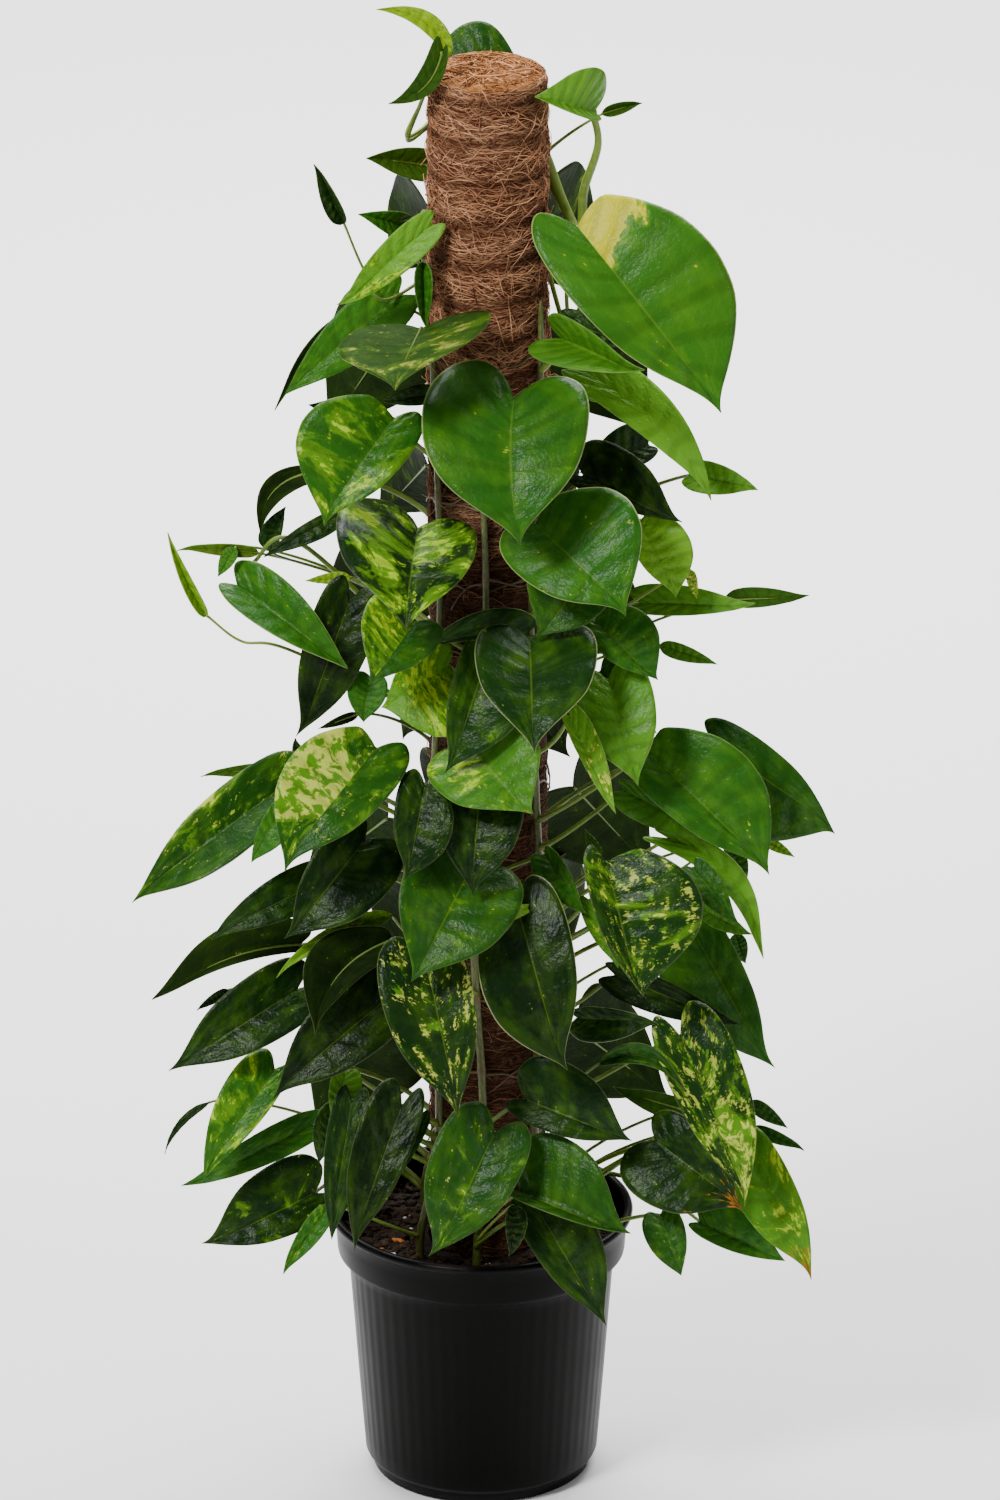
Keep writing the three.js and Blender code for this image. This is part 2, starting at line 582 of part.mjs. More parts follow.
function seededDraws(seed) {
  let state = seed;
  return (low, high) => {
    state = (state * 1103515245 + 12345) % 2147483648;
    return low + ((high - low) * state) / 2147483648;
  };
}

function backBlades() {
  const draw = seededDraws(BACK.seed);
  const blades = [];
  for (let row = 0; row < BACK.rows; row += 1) {
    for (const slot of BACK.turns[row % 2]) {
      const turn = THREE.MathUtils.degToRad(slot + draw(-4, 4));
      const outward = new THREE.Vector3(Math.sin(turn), Math.cos(turn), 0);
      const middle = BACK.lowest + row * BACK.rise + (slot === 0 ? 18 : 0) + draw(-8, 8);
      const length = draw(106, 124);
      const reach = (BACK.tipRadius - BACK.baseRadius) * draw(0.8, 1.05);
      const base = outward.clone().multiplyScalar(BACK.baseRadius);
      const tip = outward.clone().multiplyScalar(BACK.baseRadius + reach);
      const fall = Math.sqrt(length * length - reach * reach);
      base.z = middle + 0.5 * fall;
      tip.z = middle - 0.5 * fall;
      blades.push({
        base,
        tip,
        left: length * draw(0.33, 0.37),
        right: length * draw(0.33, 0.37),
        liftLeft: -draw(4, 20),
        liftRight: -draw(4, 20),
        bow: -8,
        bend: 0,
        via: [],
        stalk: 1,
      });
    }
  }
  return blades;
}

function bladeFrom(row) {
  const [baseX, baseY, baseDepth, tipX, tipY, tipDepth] = row;
  const [left, right, liftLeft, liftRight, bow, bend, extra] = row.slice(6);
  return {
    base: fromPhoto([baseX, baseY, baseDepth]),
    tip: fromPhoto([tipX, tipY, tipDepth]),
    left: left * VIEW.mmPerPixel,
    right: right * VIEW.mmPerPixel,
    liftLeft,
    liftRight,
    bow,
    bend,
    via: extra?.via ?? [],
    stalk: extra?.stalk ?? 1,
    leftShape: extra?.leftShape,
    rightShape: extra?.rightShape,
  };
}

function vineSolid(name) {
  const vine = VINES[name];
  const blades = LEAVES[name].map(bladeFrom);
  if (name === "vine_back") blades.push(...backBlades());
  const leaves = blades.map((blade) => bladeSolid(blade).add(petioleSolid(vine, blade)));
  return joined([stemSolid(vine), ...leaves]);
}

// Assembly

const plant = new THREE.Group();
const stemFeet = Object.values(VINES).map((vine) => stemPlace(vine, SOIL_TOP - STEM.footDepth));
plant.add(pieceOf(potSolid(), "pot", POT_PLASTIC));
plant.add(pieceOf(soilSolid(stemFeet), "soil", POTTING_SOIL));
plant.add(pieceOf(stakeSolid(), "pole_stake", STAKE_WOOD));
plant.add(pieceOf(coirSolid(), "coir_pole", COIR));
for (const name of Object.keys(VINES)) {
  plant.add(pieceOf(vineSolid(name), name, GREEN_LEAF));
}

export default plant;
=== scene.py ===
# %% [markdown]
# # A potted golden pothos on a coir pole
#
# The object is a house plant: a black nursery pot full of potting mix, a round pole wound with coir,
# and six climbing stems that hang heart-shaped leaves all round it. The solids of every piece are already
# made and packed. This notebook dresses them: it gives the leaves their curves, veins and patches, the pole
# its fibres, the pot its ribs, and it sets the light and the camera of the photograph.

import bpy
import numpy as np
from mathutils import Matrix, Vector


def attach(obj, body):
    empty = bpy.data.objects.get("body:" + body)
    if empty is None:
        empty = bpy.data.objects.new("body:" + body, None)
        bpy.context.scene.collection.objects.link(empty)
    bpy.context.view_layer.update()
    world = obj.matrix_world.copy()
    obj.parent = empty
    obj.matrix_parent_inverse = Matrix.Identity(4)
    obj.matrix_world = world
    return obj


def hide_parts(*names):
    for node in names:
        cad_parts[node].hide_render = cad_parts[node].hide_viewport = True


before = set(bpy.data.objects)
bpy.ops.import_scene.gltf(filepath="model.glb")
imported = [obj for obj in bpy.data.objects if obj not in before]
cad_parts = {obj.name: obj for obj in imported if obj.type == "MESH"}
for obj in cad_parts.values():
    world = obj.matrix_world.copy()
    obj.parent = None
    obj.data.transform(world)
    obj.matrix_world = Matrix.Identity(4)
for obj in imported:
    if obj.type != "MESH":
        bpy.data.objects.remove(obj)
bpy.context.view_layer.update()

print("pieces:", ", ".join(sorted(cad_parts)))

# %% [markdown]
# ## The photograph's view
#
# The photograph was taken from far away and a little above, so its lines hardly converge. The camera stands
# nine metres off with a long lens. The same numbers turn a pixel of the 1000 by 1500 picture, with a depth
# along Y, into a place on the object. Every leaf is placed that way, in millimetres, by where it is seen.

# %% From pixels to millimetres
MM = 0.001
PHOTO_WIDTH, PHOTO_HEIGHT = 1000, 1500
MM_PER_PIXEL = 0.682
SENSOR = 36.0
AIM = np.array([13.0, 0.0, 535.0])
ELEVATION = np.radians(23.0)
DISTANCE = 9000.0
VIEW_UP = np.array([0.0, np.sin(ELEVATION), np.cos(ELEVATION)])
TO_VIEWER = np.array([0.0, -np.cos(ELEVATION), np.sin(ELEVATION)])
EYE = AIM + DISTANCE * TO_VIEWER


def from_photo(px, py, depth):
    """The ray from the eye through a pixel, followed until its Y is the wanted depth."""
    ray = -DISTANCE * TO_VIEWER + (PHOTO_HEIGHT / 2 - py) * MM_PER_PIXEL * VIEW_UP
    ray[0] += (px - PHOTO_WIDTH / 2) * MM_PER_PIXEL
    return EYE + ray * (depth - EYE[1]) / ray[1]


def link(name, data):
    """Puts a new object with this data into the scene."""
    item = bpy.data.objects.new(name, data)
    bpy.context.scene.collection.objects.link(item)
    return item


camera_data = bpy.data.cameras.new("camera")
camera_data.lens = SENSOR * DISTANCE / (PHOTO_HEIGHT * MM_PER_PIXEL)
camera_data.clip_end = 60.0
camera = link("camera", camera_data)
camera.location = Vector(EYE * MM)
camera.rotation_euler = Vector(-TO_VIEWER).to_track_quat("-Z", "Y").to_euler()
bpy.context.scene.camera = camera
print("lens", round(camera_data.lens, 1), "mm, eye at", (EYE * MM).round(3))

# %% [markdown]
# ## Small helpers for meshes
#
# A surface here is a grid of points worked out with numpy. A helper joins the grid into faces of four
# corners, and another puts the arrays into a Blender mesh. Numbers that a material needs, such as how
# yellow a leaf is, travel with the points as colour attributes.

# %% Mesh helpers
# A full turn in radians, near enough for angles that are left to chance
FULL_TURN = 6.28


def grid_faces(rows, columns, wrap=False):
    """Faces of a grid of points numbered row by row, closing each row on itself where wrap is set."""
    across = columns if wrap else columns - 1
    row, column = np.meshgrid(np.arange(rows - 1), np.arange(across), indexing="ij")
    here, above = row * columns, (row + 1) * columns
    after = (column + 1) % columns
    return np.stack([here + column, here + after, above + after, above + column], axis=-1).reshape(-1, 4)


def piece_from(name, vertices, faces, materials, attributes=None, which=None, nodes=(), smooth=True):
    """Puts points in millimetres and faces into a mesh object at the origin that rides on the object."""
    mesh = bpy.data.meshes.new(name)
    mesh.from_pydata((np.asarray(vertices) * MM).tolist(), [], faces)
    for key, values in (attributes or {}).items():
        layer = mesh.attributes.new(key, "FLOAT_COLOR", "POINT")
        layer.data.foreach_set("color", np.asarray(values, dtype=np.float32).ravel())
    for material in materials:
        mesh.materials.append(material)
    if which is not None:
        mesh.polygons.foreach_set("material_index", np.asarray(which, dtype=np.int32))
    mesh.polygons.foreach_set("use_smooth", np.full(len(mesh.polygons), smooth))
    mesh.update()
    piece = link(name, mesh)
    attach(piece, "root")
    if nodes:
        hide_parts(*nodes)
    triangles = sum(polygon.loop_total - 2 for polygon in mesh.polygons)
    print(name, "has", triangles, "triangles")
    return piece


def unit(vectors):
    """Each vector divided by its own length."""
    return vectors / np.maximum(np.linalg.norm(vectors, axis=-1, keepdims=True), 1e-9)


def spline(points, count):
    """A smooth curve through the points: each stretch blends its two ends and their neighbours' slopes."""
    points = np.asarray(points, dtype=float)
    padded = np.vstack([2 * points[0] - points[1], points, 2 * points[-1] - points[-2]])
    place = np.linspace(0, len(points) - 1, count)
    start = np.minimum(place.astype(int), len(points) - 2)
    u = (place - start)[:, None]
    a, b, c, d = (padded[start + k] for k in range(4))
    return 0.5 * (2 * b + (c - a) * u + (2 * a - 5 * b + 4 * c - d) * u**2 + (3 * b - a - 3 * c + d) * u**3)


def tube(path, radius, sides):
    """Rings of points round a path: a centre plus the radius times the cosine and sine across the path."""
    path = np.asarray(path, dtype=float)
    tangent = unit(np.gradient(path, axis=0))
    chord = unit(path[-1] - path[0])
    helper = np.cross(chord, [0.31, 0.87, 0.2])
    across = unit(np.cross(tangent, np.broadcast_to(unit(helper), tangent.shape)))
    other = np.cross(tangent, across)
    angle = 2 * np.pi * np.arange(sides) / sides
    ring = np.cos(angle)[None, :, None] * across[:, None] + np.sin(angle)[None, :, None] * other[:, None]
    return path[:, None] + np.broadcast_to(radius, len(path))[:, None, None] * ring


def waves(points, size, seed, count=7):
    """Gentle lumps between about minus one and one: a sum of sine waves in seeded directions."""
    draw = np.random.default_rng(seed)
    directions = unit(draw.normal(size=(count, points.shape[-1]))) * draw.uniform(0.6, 1.5, (count, 1))
    phase = draw.uniform(0, FULL_TURN, count)
    return np.sin(points @ (2 * np.pi / size * directions).T + phase).sum(-1) / np.sqrt(count)


# %% [markdown]
# ## Materials by node
#
# Each finish is a small graph of nodes that ends in one Principled shader. A helper keeps the making of the
# graphs short: it adds a node, sets its inputs and hands its result back. A result that is a number can be
# added, subtracted and multiplied like any other number, and each such sum becomes a node too. Numbers that
# hold all over a surface, such as how dull the coir is, are set straight on the shader.

# %% Material helpers
class Number:
    """A number that nodes work out, which takes part in sums as if it were plain."""

    def __init__(self, graph, socket):
        self.graph, self.socket = graph, socket

    def __add__(self, other):
        return self.graph.math("ADD", self, other)

    def __mul__(self, other):
        return self.graph.math("MULTIPLY", self, other)

    def __sub__(self, other):
        return self.graph.math("SUBTRACT", self, other)

    def __rsub__(self, other):
        return self.graph.math("SUBTRACT", other, self)

    __radd__ = __add__
    __rmul__ = __mul__


class Graph:
    """A material and short ways to add nodes to it."""

    def __init__(self, name):
        self.material = bpy.data.materials.new(name)
        self.material.use_nodes = True
        self.nodes = self.material.node_tree.nodes
        self.links = self.material.node_tree.links
        self.shader = self.nodes["Principled BSDF"]

    def put(self, socket, value):
        """Links a socket to another node's output, or sets its number."""
        value = getattr(value, "socket", value)
        if isinstance(value, bpy.types.NodeSocket):
            self.links.new(value, socket)
        elif value is not None:
            socket.default_value = value

    def node(self, kind, inputs=None, **settings):
        """Adds a node of a kind, with settings by name and inputs by name or number."""
        node = self.nodes.new(kind)
        for key, value in settings.items():
            setattr(node, key, value)
        for key, value in (inputs or {}).items():
            self.put(node.inputs[key], value)
        return node

    def math(self, operation, a, b=None, clamp=False):
        """One sum of one or two numbers."""
        node = self.node("ShaderNodeMath", {0: a, 1: b}, operation=operation, use_clamp=clamp)
        return Number(self, node.outputs[0])

    def step(self, value, low, high):
        """Nought below low, one above high, and a smooth rise between them."""
        inputs = {"Value": value, "From Min": low, "From Max": high}
        node = self.node("ShaderNodeMapRange", inputs, interpolation_type="SMOOTHSTEP")
        return Number(self, node.outputs["Result"])

    def mix(self, factor, a, b):
        """Two colours mixed by a factor."""
        inputs = {0: factor, 6: a, 7: b}
        return self.node("ShaderNodeMix", inputs, data_type="RGBA", clamp_factor=True).outputs[2]

    def noise(self, vector, scale, detail=3.0, roughness=0.55, distortion=0.0):
        """A cloud of values between nought and one."""
        inputs = {"Vector": vector, "Scale": scale, "Detail": detail, "Roughness": roughness,
                  "Distortion": distortion}
        return Number(self, self.node("ShaderNodeTexNoise", inputs).outputs["Fac"])

    def vector(self, x, y, z):
        """Three numbers as one vector."""
        return self.node("ShaderNodeCombineXYZ", {0: x, 1: y, 2: z}).outputs[0]

    def place(self, scale=None):
        """The place on the piece, in metres, stretched by a scale where one is given."""
        place = self.node("ShaderNodeTexCoord").outputs["Object"]
        if scale is None:
            return place
        return self.node("ShaderNodeMapping", {"Vector": place, "Scale": scale}).outputs[0]

    def height(self):
        """The height on the piece, in metres."""
        return Number(self, self.node("ShaderNodeSeparateXYZ", {"Vector": self.place()}).outputs["Z"])

    def parts(self, name):
        """The red, green, blue and alpha numbers of a colour attribute."""
        node = self.node("ShaderNodeAttribute", attribute_name=name)
        split = self.node("ShaderNodeSeparateColor", {"Color": node.outputs["Color"]})
        return [Number(self, socket) for socket in (*split.outputs, node.outputs["Alpha"])]

    def bump(self, height, strength, distance):
        """A surface normal that follows a height."""
        inputs = {"Height": height, "Strength": strength, "Distance": distance}
        return self.node("ShaderNodeBump", inputs).outputs["Normal"]

    def finish(self, color, roughness, normal=None, **others):
        """Joins the results to the shader, and sets its other inputs."""
        inputs = {"Base Color": color, "Roughness": roughness, "Normal": normal, **others}
        for key, value in inputs.items():
            self.put(self.shader.inputs[key.replace("_", " ")], value)
        return self.material


def rgb(red, green, blue):
    """A colour as the eye reads it on a screen, from 0 to 255, turned into amounts of light."""
    share = np.array([red, green, blue]) / 255
    light = np.where(share <= 0.04045, share / 12.92, ((share + 0.055) / 1.055) ** 2.4)
    return (*light.tolist(), 1.0)


# %% [markdown]
# ## Leaf finish
#
# A pothos leaf is waxy, deep green and patched with yellow or cream that runs out from the rib along the
# side veins. Each leaf carries its own numbers: how light its green is, how much of each half is patched,
# whether the patches are yellow or cream, and where along the leaf they gather, with one added where they
# keep close together. Two running numbers, across and along the veins, lay the streaks, so they follow each
# leaf's own shape. The back of a leaf is duller and greyer, and painted darker on dark-toned leaves as
# shade.
# One material serves all the leaves.

# %% Leaf material
VEIN_PACE = 56.5


def leaf_material():
    """Green by tone, then patches, specks, painted vein shade, rib, margin, back and dry spots laid over one
    another.
    """
    g = Graph("leaf_blade")
    across, along, back, speckled = g.parts("run")
    tone, left, right, pale = g.parts("look")
    where, dry, margin, seed = g.parts("spot")
    signed = across * 2.0 - 1.0
    out = g.math("ABSOLUTE", signed)
    amount = right + (left - right) * g.step(across, 0.497, 0.503)
    shift = seed * 53.0
    streaky = g.vector(along * 13.0, signed * 2.4, shift)
    cloudy = g.vector(along * 4.0, signed * 2.0, shift)
    fine = g.vector(along * 88.0, signed * 12.0, shift)

    # The plain green, a little lighter in clouds and in faint streaks between the veins
    ramp = g.node("ShaderNodeValToRGB", {"Fac": tone})
    stops = ramp.color_ramp.elements
    stops[0].color, stops[1].color = rgb(6, 17, 2), rgb(148, 180, 8)
    for place, color in ((0.28, rgb(13, 40, 8)), (0.5, rgb(38, 93, 18)), (0.75, rgb(94, 149, 36))):
        stops.new(place).color = color
    green = ramp.outputs["Color"]
    lighter = g.mix(0.18 + tone * 0.5, green, rgb(102, 150, 26))
    green = g.mix(g.step(g.noise(cloudy, 1.5, 4.0), 0.42, 0.74) * 0.58, green, lighter)
    streaks = g.noise(streaky, 0.42, 5.0, 0.62, 0.6)
    green = g.mix(g.step(streaks, 0.45, 0.62) * 0.22, green, lighter)

    # Patches: streaks of cloud that pass a bar, which falls where the leaf is more patched
    tight = g.math("GREATER_THAN", where, 1.0)
    gather = g.math("ABSOLUTE", along - (where - tight))
    reach = g.math("SUBTRACT", 1.0, gather * (0.75 + tight * 2.2), clamp=True)
    bar = 0.79 - amount * reach * 0.44
    patch = g.step(streaks, bar, bar + 0.03)
    halo = g.step(streaks, bar - 0.08, bar - 0.01)
    lime = g.mix(tight, rgb(148, 188, 10), rgb(188, 184, 0))
    yellow = g.mix(pale, lime, rgb(206, 204, 96))
    brushed = g.step(g.noise(streaky, 1.6, 4.0, 0.6, 0.4), 0.46, 0.56)
    yellow = g.mix(brushed * (1.0 - tight), yellow, rgb(76, 128, 14))

    # Specks: the same with a finer cloud, which gathers in clusters
    specks = g.noise(fine, 1.0, 5.0, 0.66) + (g.noise(cloudy, 3.0, 2.0) - 0.5)
    speck_bar = 0.80 - (amount * (1.0 - tight) * 0.19 + speckled * 0.13)
    patch = g.math("MAXIMUM", patch, g.step(specks, speck_bar, speck_bar + 0.04) * 0.75)
    color = g.mix(halo * 0.65, green, rgb(92, 138, 20))
    color = g.mix(patch, color, yellow)

    # Where the blade dips along the side veins it is painted darker, as shade; the rib is paler, and some
    # leaves have a thin pale margin
    vein = g.math("SINE", along * VEIN_PACE)
    color = g.mix(g.step(vein, 0.0, 1.0) * (streaks * 0.42), color, rgb(10, 40, 2))
    color = g.mix(g.step(out, 0.026, 0.006) * 0.2, color, rgb(130, 160, 50))
    rim = g.step(out, 0.978, 0.992) * (0.12 + margin * 0.36)
    color = g.mix(rim, color, rgb(190, 200, 130))

    # The back is greyer, with the veins drawn darker, and painted darker the darker the leaf's tone:
    # painted shade for leaves seen deep in the plant. Dry spots turn the tip orange and brown
    back_with_painted_shade = g.mix(0.6, color, g.mix(tone * tone, rgb(18, 28, 8), rgb(88, 108, 44)))
    back_with_painted_shade = g.mix(g.step(vein, 0.6, 1.0) * 0.18, back_with_painted_shade, rgb(30, 42, 20))
    color = g.mix(back, color, back_with_painted_shade)
    dried = g.step(g.noise(cloudy, 3.0, 4.0) + along * 0.55, 1.0, 1.07)
    color = g.mix(dried * dry, color, rgb(158, 98, 26))

    rough = 0.22 + g.noise(cloudy, 2.0, 3.0) * 0.18 + back * 0.22
    puckers = g.noise(streaky, 1.2, 3.0) + vein * -0.1
    pores = g.noise(g.place(), 420.0, 3.0) * 0.35
    relief = g.bump(puckers + pores, 0.55, 0.0026)
    return g.finish(color, rough, relief, Specular_IOR_Level=0.13 - back * 0.11)


def stalk_material():
    """Light green with fine length lines, brown rings where the stem has its joints, from two numbers."""
    g = Graph("stalk_green")
    around, along, brown, light = g.parts("run")
    lines = g.noise(g.vector(around * 9.0, along * 2.0, light), 2.0, 3.0)
    green = g.mix(light, rgb(26, 46, 12), rgb(120, 150, 40))
    color = g.mix(g.step(lines, 0.4, 0.7) * 0.45, green, rgb(140, 160, 62))
    color = g.mix(brown, color, rgb(84, 62, 36))
    return g.finish(color, 0.36 + lines * 0.2, g.bump(lines, 0.3, 0.0006), Specular_IOR_Level=0.45)


LEAF_BLADE = leaf_material()
STALK_GREEN = stalk_material()
print("leaf finishes:", LEAF_BLADE.name, STALK_GREEN.name)
